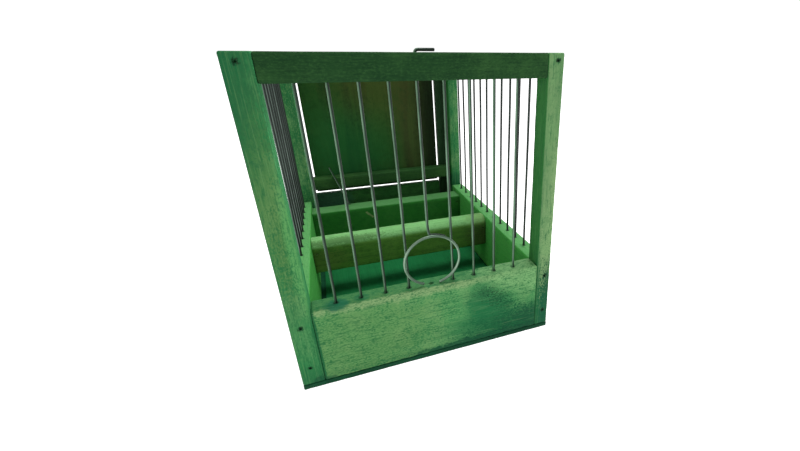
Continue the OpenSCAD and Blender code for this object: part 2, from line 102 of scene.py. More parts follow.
class Graph:
    """Builds the node tree of one material in short calls."""

    SHIFT_WAY = (1.0, 1.7, 0.6)
    NOISE_MIDDLE = 0.5
    SHEEN_WINDOW = (0.3, 0.7)
    # Sockets of a colour mix: share, lower colour and upper colour, and the result.
    MIX_INPUTS = (0, 6, 7)
    MIX_RESULT = 2

    def __init__(self, name: str) -> None:
        """Starts a material with one principled shader.

        Args:
            name: Name of the material.
        """
        self.material = bpy.data.materials.new(name)
        self.material.use_nodes = True
        self.tree = self.material.node_tree
        self.tree.nodes.clear()
        self.shader = self.tree.nodes.new("ShaderNodeBsdfPrincipled")
        output = self.tree.nodes.new("ShaderNodeOutputMaterial")
        self.tree.links.new(self.shader.outputs["BSDF"], output.inputs["Surface"])
        coordinates = self.tree.nodes.new("ShaderNodeTexCoord")
        self.place = coordinates.outputs["Object"]
        self.facing = coordinates.outputs["Normal"]

    def feed(self, socket: Socket, value: object) -> None:
        """Links a socket to the input, or sets a fixed value on it.

        Args:
            socket: Socket to feed.
            value: Socket to link it to, or a fixed value.
        """
        if isinstance(value, bpy.types.NodeSocket):
            self.tree.links.new(value, socket)
        else:
            socket.default_value = value

    def coat(self, colour: object, roughness: object) -> None:
        """Feeds the shader's colour and roughness."""
        self.feed(self.shader.inputs["Base Color"], colour)
        self.feed(self.shader.inputs["Roughness"], roughness)

    def math(self, operation: str, first: object, second: object = 0.0) -> Socket:
        """Adds one arithmetic step.

        Args:
            operation: Name of the step, such as MULTIPLY.
            first: First number or socket.
            second: Second number or socket.

        Returns:
            The result's socket.
        """
        node = self.tree.nodes.new("ShaderNodeMath")
        node.operation = operation
        self.feed(node.inputs[0], first)
        self.feed(node.inputs[1], second)
        return node.outputs[0]

    def about_zero(self, value: Socket, scale: float) -> Socket:
        """A noise moved so that it lies about zero, and scaled."""
        return self.math("MULTIPLY", self.math("SUBTRACT", value, self.NOISE_MIDDLE), scale)

    def stretched(self, scale: Sequence[float], shift: float = 0.0) -> Socket:
        """Adds object coordinates, scaled apart along x, y and z and shifted.

        Args:
            scale: Scales along x, y and z.
            shift: Shift that tells one texture from another.

        Returns:
            The coordinates.
        """
        node = self.tree.nodes.new("ShaderNodeMapping")
        self.feed(node.inputs["Vector"], self.place)
        node.inputs["Scale"].default_value = scale
        node.inputs["Location"].default_value = [shift * part for part in self.SHIFT_WAY]
        return node.outputs["Vector"]

    def noise(self, at: Socket, scale: float, detail: float, rough: float,
              swirl: float = 0.0) -> Socket:
        """Adds a noise texture.

        Args:
            at: Coordinates to read it at.
            scale: Features per unit of the coordinates.
            detail: Number of finer layers.
            rough: Strength of the finer layers.
            swirl: Distortion.

        Returns:
            The noise, about 0.25 to 0.75.
        """
        node = self.tree.nodes.new("ShaderNodeTexNoise")
        self.feed(node.inputs["Vector"], at)
        for name, value in (("Scale", scale), ("Detail", detail), ("Roughness", rough),
                            ("Distortion", swirl)):
            node.inputs[name].default_value = value
        return node.outputs["Fac"]

    def ease(self, value: Socket, low: float, high: float, start: float = 0.0,
             end: float = 1.0) -> Socket:
        """Maps one range smoothly to another and holds it outside.

        Args:
            value: Number to map.
            low: Start of its range.
            high: End of its range.
            start: Result at the start.
            end: Result at the end.

        Returns:
            The mapped number.
        """
        node = self.tree.nodes.new("ShaderNodeMapRange")
        node.interpolation_type = "SMOOTHSTEP"
        self.feed(node.inputs["Value"], value)
        for name, number in (("From Min", low), ("From Max", high), ("To Min", start), ("To Max", end)):
            node.inputs[name].default_value = number
        return node.outputs["Result"]

    def mix(self, share: object, under: object, over: object) -> Socket:
        """Lays one colour over another.

        Args:
            share: Share of the upper colour, 0 to 1.
            under: Lower colour.
            over: Upper colour.

        Returns:
            The mixed colour.
        """
        node = self.tree.nodes.new("ShaderNodeMix")
        node.data_type = "RGBA"
        for index, value in zip(self.MIX_INPUTS, (share, under, over)):
            self.feed(node.inputs[index], value)
        return node.outputs[self.MIX_RESULT]

    def wash(self, under: object, mark: Socket, window: tuple[float, float], share: float,
             over: object) -> Socket:
        """Lays one colour over another where a noise passes its window."""
        return self.mix(self.ease(mark, *window, 0.0, share), under, over)

    def sheen(self, mark: Socket, smooth: float, rough: float) -> Socket:
        """A roughness that a noise moves between two values."""
        return self.ease(mark, *self.SHEEN_WINDOW, smooth, rough)

    def part(self, vector: Socket, index: int) -> Socket:
        """Adds one of the three parts of a vector.

        Args:
            vector: The vector.
            index: 0, 1 or 2 for x, y or z.

        Returns:
            That part.
        """
        node = self.tree.nodes.new("ShaderNodeSeparateXYZ")
        self.feed(node.inputs[0], vector)
        return node.outputs[index]

    def vector_math(self, operation: str, first: Socket,
                    second: Sequence[float] = (0.0, 0.0, 0.0)) -> bpy.types.Node:
        """Adds one step of arithmetic with vectors.

        Args:
            operation: Name of the step, such as SUBTRACT.
            first: First vector.
            second: Second vector.

        Returns:
            The step's node.
        """
        node = self.tree.nodes.new("ShaderNodeVectorMath")
        node.operation = operation
        self.feed(node.inputs[0], first)
        self.feed(node.inputs[1], second)
        return node

    def distance(self, centre: Sequence[float], reach: Sequence[float]) -> Socket:
        """Adds the distance from a centre, counted in reaches along x, y and z.

        Args:
            centre: The centre, in metres.
            reach: The reaches, in metres.

        Returns:
            The distance.
        """
        offset = self.vector_math("SUBTRACT", self.place, centre).outputs[0]
        scaled = self.vector_math("DIVIDE", offset, reach).outputs[0]
        return self.vector_math("LENGTH", scaled).outputs["Value"]

    def bump(self, height: Socket, depth: float, strength: float) -> None:
        """Gives the shader a relief.

        Args:
            height: Height of each point, 0 to 1.
            depth: Depth of the relief, in metres.
            strength: Its strength.
        """
        node = self.tree.nodes.new("ShaderNodeBump")
        node.inputs["Distance"].default_value = depth
        node.inputs["Strength"].default_value = strength
        self.feed(node.inputs["Height"], height)
        self.feed(self.shader.inputs["Normal"], node.outputs["Normal"])


@dataclass(frozen=True)
class Pool:
    """A place where stain gathered, or where it wore off.

    Attributes:
        centre: Middle of the place, in metres.
        reach: Half widths along x, y and z, in metres.
        colour: Colour of the wood there.
        strength: Share of that colour in the middle.
        soft: Width of its edge, as a share of the reach.
        stipple: How far single specks stray over its edge.
    """

    centre: tuple[float, float, float]
    reach: tuple[float, float, float]
    colour: Colour
    strength: float = 1.0
    soft: float = 0.4
    stipple: float = 0.8

    @classmethod
    def near(cls, spot: Sequence[float], offset: Sequence[float], reach: Sequence[float],
             colour: Colour, *looks: float) -> "Pool":
        """Places a pool by the way to it from a known spot.

        Args:
            spot: The known spot, in metres.
            offset: Way from it to the pool's middle, in millimetres.
            reach: Half widths along x, y and z, in millimetres.
            colour: Colour of the wood there.
            looks: Strength, soft and stipple, as far as they aren't the usual ones.

        Returns:
            The pool.
        """
        centre = tuple(place + way * MM for place, way in zip(spot, offset))
        return cls(centre, tuple(width * MM for width in reach), colour, *looks)


@dataclass(frozen=True)
class PaintedSideShading:
    """Painted light and shade: a lighter or darker colour on the faces that look one way, for how the light
    falls on them.

    Attributes:
        axis: Axis along which those faces look.
        sign: 1 for the positive way, -1 for the other.
        colour: Colour painted there, lighter as painted light or darker as painted shade.
        strength: Share of that colour.
        onset: How far a face turns that way before it takes the colour, 0 to 1.
    """

    axis: Grain
    sign: int
    colour: Colour
    strength: float = 1.0
    onset: float = 0.4


@dataclass(frozen=True)
class HoleRow:
    """A row of drilled holes with dark stain round them.

    Attributes:
        along: Axis along which the holes follow each other.
        first: Place of the first hole on that axis, in metres.
        pitch: Distance between holes, in metres.
        count: Number of holes.
        line: Place of the row on the other level axis, in metres.
        strength: Share of the dark stain at a hole.
    """

    along: Grain
    first: float
    pitch: float
    count: int
    line: float
    strength: float = 0.85


@dataclass(frozen=True)
class Texture:
    """A noise in a finish, which may be drawn out along one axis.

    Attributes:
        across: Scale across that axis, to a metre.
        along: Scale along it, to a metre.
        shift: Shift that tells it from other noises.
        detail: Number of finer layers.
        rough: Strength of the finer layers.
        swirl: Distortion.
        scale: Scale of the whole after the shift.
    """

    across: float
    along: float
    shift: float = 0.0
    detail: float = 2.0
    rough: float = 0.5
    swirl: float = 0.0
    scale: float = 1.0

    def build(self, graph: Graph, axis: Grain) -> Socket:
        """Adds the noise to a material.

        Args:
            graph: Node tree of the material.
            axis: Axis along which it is drawn out.

        Returns:
            The noise, about 0.25 to 0.75.
        """
        scales = [self.across] * 3
        scales[axis.value] = self.along
        place = graph.stretched(scales, self.shift)
        return graph.noise(place, self.scale, self.detail, self.rough, self.swirl)


@dataclass(frozen=True)
class StainedWood:
    """Pale wood rubbed with aniline stain, with its grain, patches and specks.

    Attributes:
        name: Name of the finish.
        grain: Direction of the fibres.
        body: Main colour.
        pale: Colour where little stain stayed.
        deep: Colour where it soaked in.
        patchy: Strength of the broad pale patches, 0 to 1.
        specks: Strength of the fine dark mottling, 0 to 1.
        fibres: Strength of the fine fibre lines, 0 to 1.
        dashes: Strength of the short dark pores, 0 to 1.
        bands: Strength of the broad bands along the grain, 0 to 1.
        band_scale: Number of bands to a metre across the grain.
        roughness: Mean roughness.
        sides: Faces painted lighter or darker by the way they look, as painted light and shade.
        pools: Gathered or worn places.
        rows: Rows of drilled holes.
    """

    name: str
    grain: Grain
    body: Colour = MID_GREEN
    pale: Colour = PALE_GREEN
    deep: Colour = DEEP_GREEN
    patchy: float = 0.5
    specks: float = 0.5
    fibres: float = 0.4
    dashes: float = 0.4
    bands: float = 0.3
    band_scale: float = 170.0
    roughness: float = 0.6
    sides: tuple[PaintedSideShading, ...] = ()
    pools: tuple[Pool, ...] = ()
    rows: tuple[HoleRow, ...] = ()

    FIBRE_LINES = Texture(1500.0, 50.0, detail=3.0, rough=0.6)
    PORES = Texture(850.0, 110.0, 5.3, rough=0.55)
    PATCHES = Texture(1.0, 1.0, 0.37, 4.0, 0.6, scale=55.0)
    MOTTLING = Texture(1250.0, 687.5, 1.7, rough=0.6)
    RAGGED = Texture(1.0, 1.0, 0.9, 3.0, 0.6, scale=260.0)
    BANDS_ALONG = 7.0
    BANDS_SHIFT = 3.1
    BANDS_SWIRL = 0.5

    # The two values of a noise between which its mark comes in.
    PATCH_WINDOW = (0.42, 0.68)
    BAND_WINDOW = (0.44, 0.66)
    CLOUD_WINDOW = (0.5, 0.66)
    FLECK_WINDOW = (0.46, 0.36)
    SPECK_WINDOW = (0.48, 0.6)
    SPREAD_WINDOW = (0.35, 0.62)
    PORE_WINDOW = (0.56, 0.68)
    FIBRE_WINDOW = (0.52, 0.7)
    BARE_WINDOW = (0.46, 0.32)

    # Share of a mark's colour where it is strongest.
    CLOUD_SHARE = 0.2
    FLECK_SHARE = 0.5
    SPECK_SHARE = 0.8
    FIBRE_SHARE = 0.6
    BARE_SHARE = 0.4
    SPREAD_LEAST = 0.35

    # Gloss, which the fibres break up, and the relief of fibres and pores.
    SMOOTHER = 0.1
    ROUGHER = 0.14
    SPECULAR = 0.06
    FIBRE_RELIEF = 0.6
    PORE_RELIEF = -0.4
    RELIEF_DEPTH = 0.3 * MM
    RELIEF_STRENGTH = 0.45

    # Edges of the pools and of the painted light and shade on sides, and the dark rings round drilled holes.
    TORN_EDGE = 1.1
    SHADING_SPREAD = 0.45
    UPWARD_WINDOW = (0.6, 0.9)
    RING_INNER = 0.9 * MM
    RING_OUTER = 2.0 * MM
    RING_FRAY = 3.0 * MM

    def pool_share(self, graph: Graph, pool: Pool, ragged: Socket, speck: Socket) -> Socket:
        """Adds how far a pool covers each point, with a ragged and stippled edge.

        Args:
            graph: Node tree of the material.
            pool: The pool.
            ragged: Noise that tears its edge.
            speck: Noise that strays over its edge.

        Returns:
            The share of the pool's colour.
        """
        away = graph.distance(pool.centre, pool.reach)
        strayed = graph.math("ADD", graph.about_zero(ragged, self.TORN_EDGE),
                             graph.about_zero(speck, 2.0 * pool.stipple))
        edge = graph.math("ADD", away, strayed)
        return graph.ease(edge, 1.0 + pool.soft / 2, 1.0 - pool.soft / 2, 0.0, pool.strength)

    def shading_share(self, graph: Graph, side: PaintedSideShading) -> Socket:
        """How far a point's face looks the way that gets painted light or shade."""
        turned = graph.math("MULTIPLY", graph.part(graph.facing, side.axis.value), float(side.sign))
        return graph.ease(turned, side.onset, side.onset + self.SHADING_SPREAD, 0.0, side.strength)

    def row_share(self, graph: Graph, row: HoleRow, ragged: Socket) -> Socket:
        """Adds how far the dark rings round a row of holes cover each point.

        Args:
            graph: Node tree of the material.
            row: The row of holes.
            ragged: Noise that frays the rings.

        Returns:
            The share of the dark stain.
        """
        across = 1 - row.along.value
        start = graph.math("SUBTRACT", graph.part(graph.place, row.along.value), row.first)
        steps = graph.math("DIVIDE", start, row.pitch)
        whole = graph.math("MAXIMUM", graph.math("ROUND", steps), 0.0)
        nearest = graph.math("MINIMUM", whole, row.count - 1.0)
        run = graph.math("MULTIPLY", graph.math("SUBTRACT", steps, nearest), row.pitch)
        side = graph.math("SUBTRACT", graph.part(graph.place, across), row.line)
        squares = graph.math("ADD", graph.math("MULTIPLY", run, run), graph.math("MULTIPLY", side, side))
        frayed = graph.math("ADD", graph.math("SQRT", squares), graph.about_zero(ragged, self.RING_FRAY))
        ring = graph.ease(frayed, self.RING_OUTER, self.RING_INNER, 0.0, row.strength)
        level = graph.math("ABSOLUTE", graph.part(graph.facing, Grain.ALONG_Z.value))
        return graph.math("MULTIPLY", ring, graph.ease(level, *self.UPWARD_WINDOW))

    def build(self) -> bpy.types.Material:
        """Builds the material.

        Returns:
            The finished material.
        """
        graph = Graph(self.name)
        bands = Texture(self.band_scale, self.BANDS_ALONG, self.BANDS_SHIFT, swirl=self.BANDS_SWIRL)
        textures = (self.FIBRE_LINES, self.PORES, bands, self.PATCHES, self.MOTTLING, self.RAGGED)
        fibre, pore, band, patch, speck, ragged = (
            texture.build(graph, self.grain) for texture in textures)

        colour = graph.wash(self.body, patch, self.PATCH_WINDOW, self.patchy, self.pale)
        colour = graph.wash(colour, band, self.BAND_WINDOW, self.bands, self.deep)
        colour = graph.wash(colour, ragged, self.CLOUD_WINDOW, self.CLOUD_SHARE, self.deep)
        colour = graph.wash(colour, speck, self.FLECK_WINDOW, self.FLECK_SHARE * self.specks, self.pale)
        # Painted light and shade: faces lighter or darker by the way they look.
        for side in self.sides:
            colour = graph.mix(self.shading_share(graph, side), colour, side.colour)
        for pool in self.pools:
            colour = graph.mix(self.pool_share(graph, pool, ragged, speck), colour, pool.colour)
        spread = graph.ease(ragged, *self.SPREAD_WINDOW, self.SPREAD_LEAST, 1.0)
        darker = graph.mix(self.SPECK_SHARE, colour, self.deep)
        specked = graph.math("MULTIPLY", graph.ease(speck, *self.SPECK_WINDOW, 0.0, self.specks), spread)
        colour = graph.mix(specked, colour, darker)
        colour = graph.wash(colour, pore, self.PORE_WINDOW, self.dashes, self.deep)
        colour = graph.wash(colour, fibre, self.FIBRE_WINDOW, self.FIBRE_SHARE * self.fibres, self.deep)
        colour = graph.wash(colour, fibre, self.BARE_WINDOW, self.BARE_SHARE * self.fibres, self.pale)
        for row in self.rows:
            colour = graph.mix(self.row_share(graph, row, ragged), colour, HOLE_STAIN)

        graph.coat(colour, graph.sheen(fibre, self.roughness - self.SMOOTHER, self.roughness + self.ROUGHER))
        graph.shader.inputs["Specular IOR Level"].default_value = self.SPECULAR
        relief = graph.math("ADD", graph.math("MULTIPLY", fibre, self.FIBRE_RELIEF),
                            graph.math("MULTIPLY", pore, self.PORE_RELIEF))
        graph.bump(relief, self.RELIEF_DEPTH, self.RELIEF_STRENGTH)
        return graph.material


@dataclass(frozen=True)
class DrawnWire:
    """Plain iron wire with a painted highlight on its left sides and painted shade on its right sides, and
    darker marks of tarnish.

    Attributes:
        name: Name of the finish.
        clean: Colour of the left sides, painted as a highlight.
        dull: Colour of the right sides, painted as shade, and of the tarnish marks.
        roughness: Mean roughness.
    """

    name: str
    clean: Colour = stain(112, 146, 119)
    dull: Colour = stain(28, 42, 33)
    roughness: float = 0.38

    BLOOM = Texture(90.0, 60.0)
    BLOOM_WINDOW = (0.45, 0.65)
    BLOOM_SHARE = 0.3
    MARKS = Texture(900.0, 60.0, 0.2, rough=0.6)
    MARKS_WINDOW = (0.55, 0.75)
    MARKS_SHARE = 0.2
    SHADED_SIDE = (-0.9, 0.15)
    SMOOTHER = 0.06
    ROUGHER = 0.12
    METALLIC = 0.7
    RELIEF_DEPTH = 0.004 * MM
    RELIEF_STRENGTH = 0.15

    def build(self) -> bpy.types.Material:
        """Builds the material.

        Returns:
            The finished material.
        """
        graph = Graph(self.name)
        bloom = self.BLOOM.build(graph, Grain.ALONG_Z)
        marks = self.MARKS.build(graph, Grain.ALONG_Z)
        # Painted highlight and shade: sides that look left are lighter, sides that look right darker.
        shaded = graph.ease(graph.part(graph.facing, Grain.ALONG_X.value), *self.SHADED_SIDE)
        colour = graph.mix(shaded, self.clean, self.dull)
        colour = graph.wash(colour, bloom, self.BLOOM_WINDOW, self.BLOOM_SHARE, self.dull)
        colour = graph.wash(colour, marks, self.MARKS_WINDOW, self.MARKS_SHARE, self.dull)
        graph.coat(colour, graph.sheen(bloom, self.roughness - self.SMOOTHER, self.roughness + self.ROUGHER))
        graph.shader.inputs["Metallic"].default_value = self.METALLIC
        graph.bump(marks, self.RELIEF_DEPTH, self.RELIEF_STRENGTH)
        return graph.material


@dataclass(frozen=True)
class PlainMetal:
    """Small hardware: nails, hinges and screws, with scuffs and patches of tarnish.

    Attributes:
        name: Name of the finish.
        clean: Colour of the clean metal.
        tarnish: Colour of the tarnish.
        roughness: Mean roughness.
    """

    name: str
    clean: Colour
    tarnish: Colour
    roughness: float

    CLOUD = Texture(1.0, 1.0, detail=4.0, rough=0.6, scale=620.0)
    CLOUD_WINDOW = (0.36, 0.72)
    CLOUD_SHARE = 0.8
    SCUFFS = Texture(900.0, 3000.0, 0.5)
    SMOOTHER = 0.08
    ROUGHER = 0.2
    RELIEF_DEPTH = 0.04 * MM
    RELIEF_STRENGTH = 0.4

    def build(self) -> bpy.types.Material:
        """Builds the material.

        Returns:
            The finished material.
        """
        graph = Graph(self.name)
        cloud = self.CLOUD.build(graph, Grain.ALONG_Z)
        colour = graph.wash(self.clean, cloud, self.CLOUD_WINDOW, self.CLOUD_SHARE, self.tarnish)
        graph.coat(colour, graph.sheen(cloud, self.roughness - self.SMOOTHER, self.roughness + self.ROUGHER))
        graph.shader.inputs["Metallic"].default_value = 1.0
        graph.bump(self.SCUFFS.build(graph, Grain.ALONG_Z), self.RELIEF_DEPTH, self.RELIEF_STRENGTH)
        return graph.material


def dress(piece: bpy.types.Object, material: bpy.types.Material) -> None:
    """Puts one material on a whole piece.

    Args:
        piece: Piece to dress.
        material: Its material.
    """
    piece.data.materials.clear()
    piece.data.materials.append(material)
    for face in piece.data.polygons:
        face.material_index = 0


def place_object(name: str, data: bpy.types.ID) -> bpy.types.Object:
    """Adds an object to the scene.

    Args:
        name: Name of the object.
        data: Its mesh, light or camera.

    Returns:
        The object.
    """
    placed = bpy.data.objects.new(name, data)
    bpy.context.scene.collection.objects.link(placed)
    return placed


def new_mesh(name: str, points: Sequence[Sequence[float]], faces: Sequence[tuple]) -> bpy.types.Mesh:
    """Makes a mesh.

    Args:
        name: Name of the mesh.
        points: Its points, in metres.
        faces: Numbers of the points of each face.

    Returns:
        The mesh.
    """
    mesh = bpy.data.meshes.new(name)
    mesh.from_pydata(points, [], faces)
    mesh.update()
    return mesh


def ring_faces(rings: int, sides: int) -> list[tuple]:
    """Joins rings of points that follow each other into a closed tube.

    Args:
        rings: Number of rings.
        sides: Number of points in a ring.

    Returns:
        Numbers of the points of each face.
    """
    faces = []
    for ring in range(rings - 1):
        near, far = ring * sides, (ring + 1) * sides
        for count in range(sides):
            after = (count + 1) % sides
            faces.append((near + count, near + after, far + after, far + count))
    faces.append(tuple(reversed(range(sides))))
    faces.append(tuple(range((rings - 1) * sides, rings * sides)))
    return faces


def soften(mesh: bpy.types.Mesh, sharp_degrees: float = 32.0) -> None:
    """Shades a mesh smooth, except across its sharp edges.

    Args:
        mesh: Mesh to shade.
        sharp_degrees: Angle from which an edge is sharp.
    """
    sharp = math.radians(sharp_degrees)
    work = bmesh.new()
    work.from_mesh(mesh)
    for face in work.faces:
        face.smooth = True
    for edge in work.edges:
        edge.smooth = len(edge.link_faces) != 2 or edge.calc_face_angle(0.0) < sharp
    work.to_mesh(mesh)
    work.free()


@dataclass(frozen=True)
class Solid:
    """One separate solid of a CAD node.

    Attributes:
        low: Lowest corner of its box, in metres.
        high: Highest corner of its box.
        start: One end of its longest run.
        end: The other end.
        radius: Greatest distance of its surface from that run.
    """

    low: Vector
    high: Vector
    start: Vector
    end: Vector
    radius: float

    def outer_end(self, outward: Vector) -> Vector:
        """The end that lies further along the given way."""
        return max(self.start, self.end, key=lambda spot: spot.dot(outward))

    def inner_end(self, outward: Vector) -> Vector:
        """The end that lies less far along the given way."""
        return min(self.start, self.end, key=lambda spot: spot.dot(outward))


def cad_solids(node: str) -> list[Solid]:
    """Finds the separate solids of a CAD node.

    Args:
        node: Name of the node.

    Returns:
        The solids in the order of their lowest corners.
    """
    work = bmesh.new()
    work.from_mesh(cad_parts[node].data)
    bmesh.ops.remove_doubles(work, verts=work.verts, dist=WELD)
    left = set(work.verts)
    solids = []
    for first in work.verts:
        if first not in left:
            continue
        left.remove(first)
        island = [first]
        for vertex in island:
            for edge in vertex.link_edges:
                other = edge.other_vert(vertex)
                if other in left:
                    left.remove(other)
                    island.append(other)
        spots = np.array([vertex.co for vertex in island])
        low, high = spots.min(0), spots.max(0)
        middle = (low + high) / 2
        run = np.linalg.svd(spots - middle, full_matrices=False)[2][0]
        places = (spots - middle) @ run
        radius = np.linalg.norm(spots - middle - np.outer(places, run), axis=1).max()
        start, end = middle + run * places.min(), middle + run * places.max()
        solids.append(Solid(Vector(low), Vector(high), Vector(start), Vector(end), float(radius)))
    work.free()
    return sorted(solids, key=lambda solid: tuple(round(value, DECIMALS) for value in solid.low))


@dataclass(frozen=True)
class Hole:
    """A round hole to drill.

    Attributes:
        start: Centre of its mouth, in metres.
        way: Direction of drilling, of length 1.
        depth: Depth below the mouth, in metres.
        radius: Radius, in metres.
    """

    start: Vector
    way: Vector
    depth: float
    radius: float

    PROUD = 0.6 * MM
    SIDES = 14

    def cutter(self, work: bmesh.types.BMesh) -> None:
        """Adds the hole's body to a mesh of cutters.

        Args:
            work: The mesh of cutters.
        """
        length = self.depth + self.PROUD
        middle = self.start + self.way * (length / 2 - self.PROUD)
        turn = self.way.to_track_quat("Z", "Y").to_matrix().to_4x4()
        bmesh.ops.create_cone(work, cap_ends=True, segments=self.SIDES, radius1=self.radius,
                              radius2=self.radius, depth=length,
                              matrix=Matrix.Translation(middle) @ turn)


@dataclass(frozen=True)
class Groove:
    """A straight groove to saw.

    Attributes:
        low: Lowest corner of the groove, in metres.
        high: Highest corner.
    """

    low: Vector
    high: Vector

    def cutter(self, work: bmesh.types.BMesh) -> None:
        """Adds the groove's body to a mesh of cutters.

        Args:
            work: The mesh of cutters.
        """
        size = self.high - self.low
        matrix = Matrix.Translation((self.low + self.high) / 2) @ Matrix.Diagonal((*size, 1.0))
        bmesh.ops.create_cube(work, size=1.0, matrix=matrix)


Cut = Union[Hole, Groove]


def cut_out(piece: bpy.types.Object, cuts: Sequence[Cut]) -> None:
    """Cuts holes and grooves out of a piece.

    Args:
        piece: Piece to cut.
        cuts: Holes and grooves.
    """
    work = bmesh.new()
    for cut in cuts:
        cut.cutter(work)
    mesh = bpy.data.meshes.new("cutters")
    work.to_mesh(mesh)
    work.free()
    cutters = place_object("cutters", mesh)
    shaping = piece.modifiers.new("holes", "BOOLEAN")
    shaping.operation = "DIFFERENCE"
    shaping.solver = "EXACT"
    shaping.object = cutters
    bpy.context.view_layer.update()
    shaped = bpy.data.meshes.new_from_object(piece.evaluated_get(bpy.context.evaluated_depsgraph_get()))
    piece.modifiers.clear()
    piece.data = shaped
    bpy.data.objects.remove(cutters)


def settle(piece: bpy.types.Object, node: str, body: str) -> bpy.types.Object:
    """Puts a finished piece in a node's place and on its body.

    Args:
        piece: Finished piece.
        node: CAD node that it stands for.
        body: CAD body that it rides on.

    Returns:
        The same piece.
    """
    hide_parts(node)
    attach(piece, body)
    LOG.info("%s: %d faces", piece.name, len(piece.data.polygons))
    return piece


@dataclass
class SawnLength:
    """A sawn length of wood with worn edges, which stands for a CAD node.

    Attributes:
        node: CAD node it stands for.
        body: CAD body it rides on.
        slot: Material slot of the record.
        finish: Stain of the wood.
        edge: Rounding of the long edges, in metres.
        wander: Unevenness of the faces, in metres.
        chips: Depth of the chips in the edges, in metres.
        step: Distance between mesh rings, in metres.
        cuts: Holes to drill and grooves to saw.
        corners: Lowest and highest corner, where they aren't the node's own.
        part: Word that tells it from the node's other pieces.
    """

    node: str
    body: str
    slot: str
    finish: StainedWood
    edge: float = 0.8 * MM
    wander: float = 0.14 * MM
    chips: float = 0.5 * MM
    step: float = 2.2 * MM
    cuts: list[Cut] = field(default_factory=list)
    corners: Optional[tuple[Vector, Vector]] = None
    part: str = "wood"

    # A corner of this radius or more is a rounding of its own, with more points and less wear.
    ROUNDED_FROM = 2 * MM
    ROUNDED_WEAR = 0.15
    ARC_STEPS = 4
    END_SHARE = 0.3
    SEED_WAY = (31.0, 17.0, 23.0)

    # Wear by a slow drift, a fine fuzz and chips in the edges: scale to a metre, and share.
    DRIFT_SCALE = 45.0
    DRIFT_SHARE = 0.8
    FUZZ_SCALE = 420.0
    FUZZ_SHARE = 0.2
    CHIP_SCALE = 210.0
    CHIP_ONSET = 0.12

    def outline(self, width: float, height: float) -> list[tuple]:
        """Walks round the end section.

        Args:
            width: Size of the section along its first axis.
            height: Size along its second axis.

        Returns:
            For each point its two coordinates, its outward direction and how far it lies on
            an edge, 0 to 1.
        """
        return self.rounded_outline(width, height, (self.edge,) * 4)

    def rounded_outline(self, width: float, height: float, radii: Sequence[float]) -> list[tuple]:
        """Walks round a rectangle with rounded corners.

        Args:
            width: Size of the rectangle along its first axis.
            height: Size along its second axis.
            radii: Radius of each corner, from the upper right one to the left.

        Returns:
            The points, as outline gives them.
        """
        centres = ((width - radii[0], height - radii[0]), (radii[1], height - radii[1]),
                   (radii[2], radii[2]), (width - radii[3], radii[3]))
        points = []
        for corner, (across, up) in enumerate(centres):
            radius = radii[corner]
            rounded = radius >= self.ROUNDED_FROM
            arc_steps = 3 * self.ARC_STEPS if rounded else self.ARC_STEPS
            for count in range(arc_steps + 1):
                angle = math.radians(90 * corner + 90 * count / arc_steps)
                edge_share = self.ROUNDED_WEAR if rounded else math.sin(math.pi * count / arc_steps)
                points.append((across + radius * math.cos(angle), up + radius * math.sin(angle),
                               math.cos(angle), math.sin(angle), edge_share))
            following = centres[(corner + 1) % 4]
            next_radius = radii[(corner + 1) % 4]
            angle = math.radians(90 * (corner + 1))
            start = (points[-1][0], points[-1][1])
            end = (following[0] + next_radius * math.cos(angle),
                   following[1] + next_radius * math.sin(angle))
            cells = max(1, round(math.dist(start, end) / self.step))
            for count in range(1, cells):
                share = count / cells
                points.append((start[0] + (end[0] - start[0]) * share,
                               start[1] + (end[1] - start[1]) * share,
                               math.cos(angle), math.sin(angle), 0.0))
        return points

    def stations(self, length: float) -> list[tuple[float, float]]:
        """Finds the places of the rings along the length.

        Args:
            length: The length, in metres.

        Returns:
            Each place with the inset of its ring, for the rounded ends.
        """
        rounding = min(self.edge, self.END_SHARE * length)
        bend = self.END_SHARE * rounding
        ends = [(0.0, rounding), (bend, bend), (rounding, 0.0)]
        straight = length - 2 * rounding
        cells = max(2, round(straight / self.step))
        middle = [(rounding + straight * count / cells, 0.0) for count in range(1, cells)]
        return ends + middle + [(length - place, inset) for place, inset in reversed(ends)]

    def wear(self, point: Vector, seed: Vector, edge_share: float) -> float:
        """Finds how far a point of the surface is worn down.

        Args:
            point: The point, in metres.
            seed: Shift that tells one length from another.
            edge_share: How far the point lies on an edge, 0 to 1.

        Returns:
            The wear, in metres.
        """
        drift = 0.5 + 0.5 * noise.noise(point * self.DRIFT_SCALE + seed)
        fuzz = 0.5 + 0.5 * noise.noise(point * self.FUZZ_SCALE + seed)
        nick = max(0.0, noise.noise(point * self.CHIP_SCALE + seed) - self.CHIP_ONSET) * edge_share
        return self.wander * (self.DRIFT_SHARE * drift + self.FUZZ_SHARE * fuzz) + self.chips * nick

    def mesh(self) -> bpy.types.Mesh:
        """Builds the worn length as rings of points from end to end.

        Returns:
            The mesh.
        """
        low, high = self.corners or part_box(self.node)
        size = high - low
        grain = self.finish.grain.value
        across, up = (grain + 1) % 3, (grain + 2) % 3
        section = self.outline(size[across], size[up])
        places = self.stations(size[grain])
        seed = Vector([low[axis] * self.SEED_WAY[axis] for axis in range(3)])
        points = []
        for place, inset in places:
            for first, second, out_first, out_second, edge_share in section:
                point, outward = Vector(low), Vector((0.0, 0.0, 0.0))
                point[grain] = low[grain] + place
                point[across] = low[across] + first
                point[up] = low[up] + second
                outward[across] = out_first
                outward[up] = out_second
                points.append(point - outward * (self.wear(point, seed, edge_share) + inset))
        return new_mesh(f"{self.node}_{self.part}", points, ring_faces(len(places), len(section)))

    def make(self) -> bpy.types.Object:
        """Builds, cuts and dresses the piece and puts it in the node's place.

        Returns:
            The finished piece.
        """
        mesh = self.mesh()
        piece = place_object(mesh.name, mesh)
        if self.cuts:
            cut_out(piece, self.cuts)
        soften(piece.data)
        dress(piece, self.finish.build())
        return settle(piece, self.node, self.body)


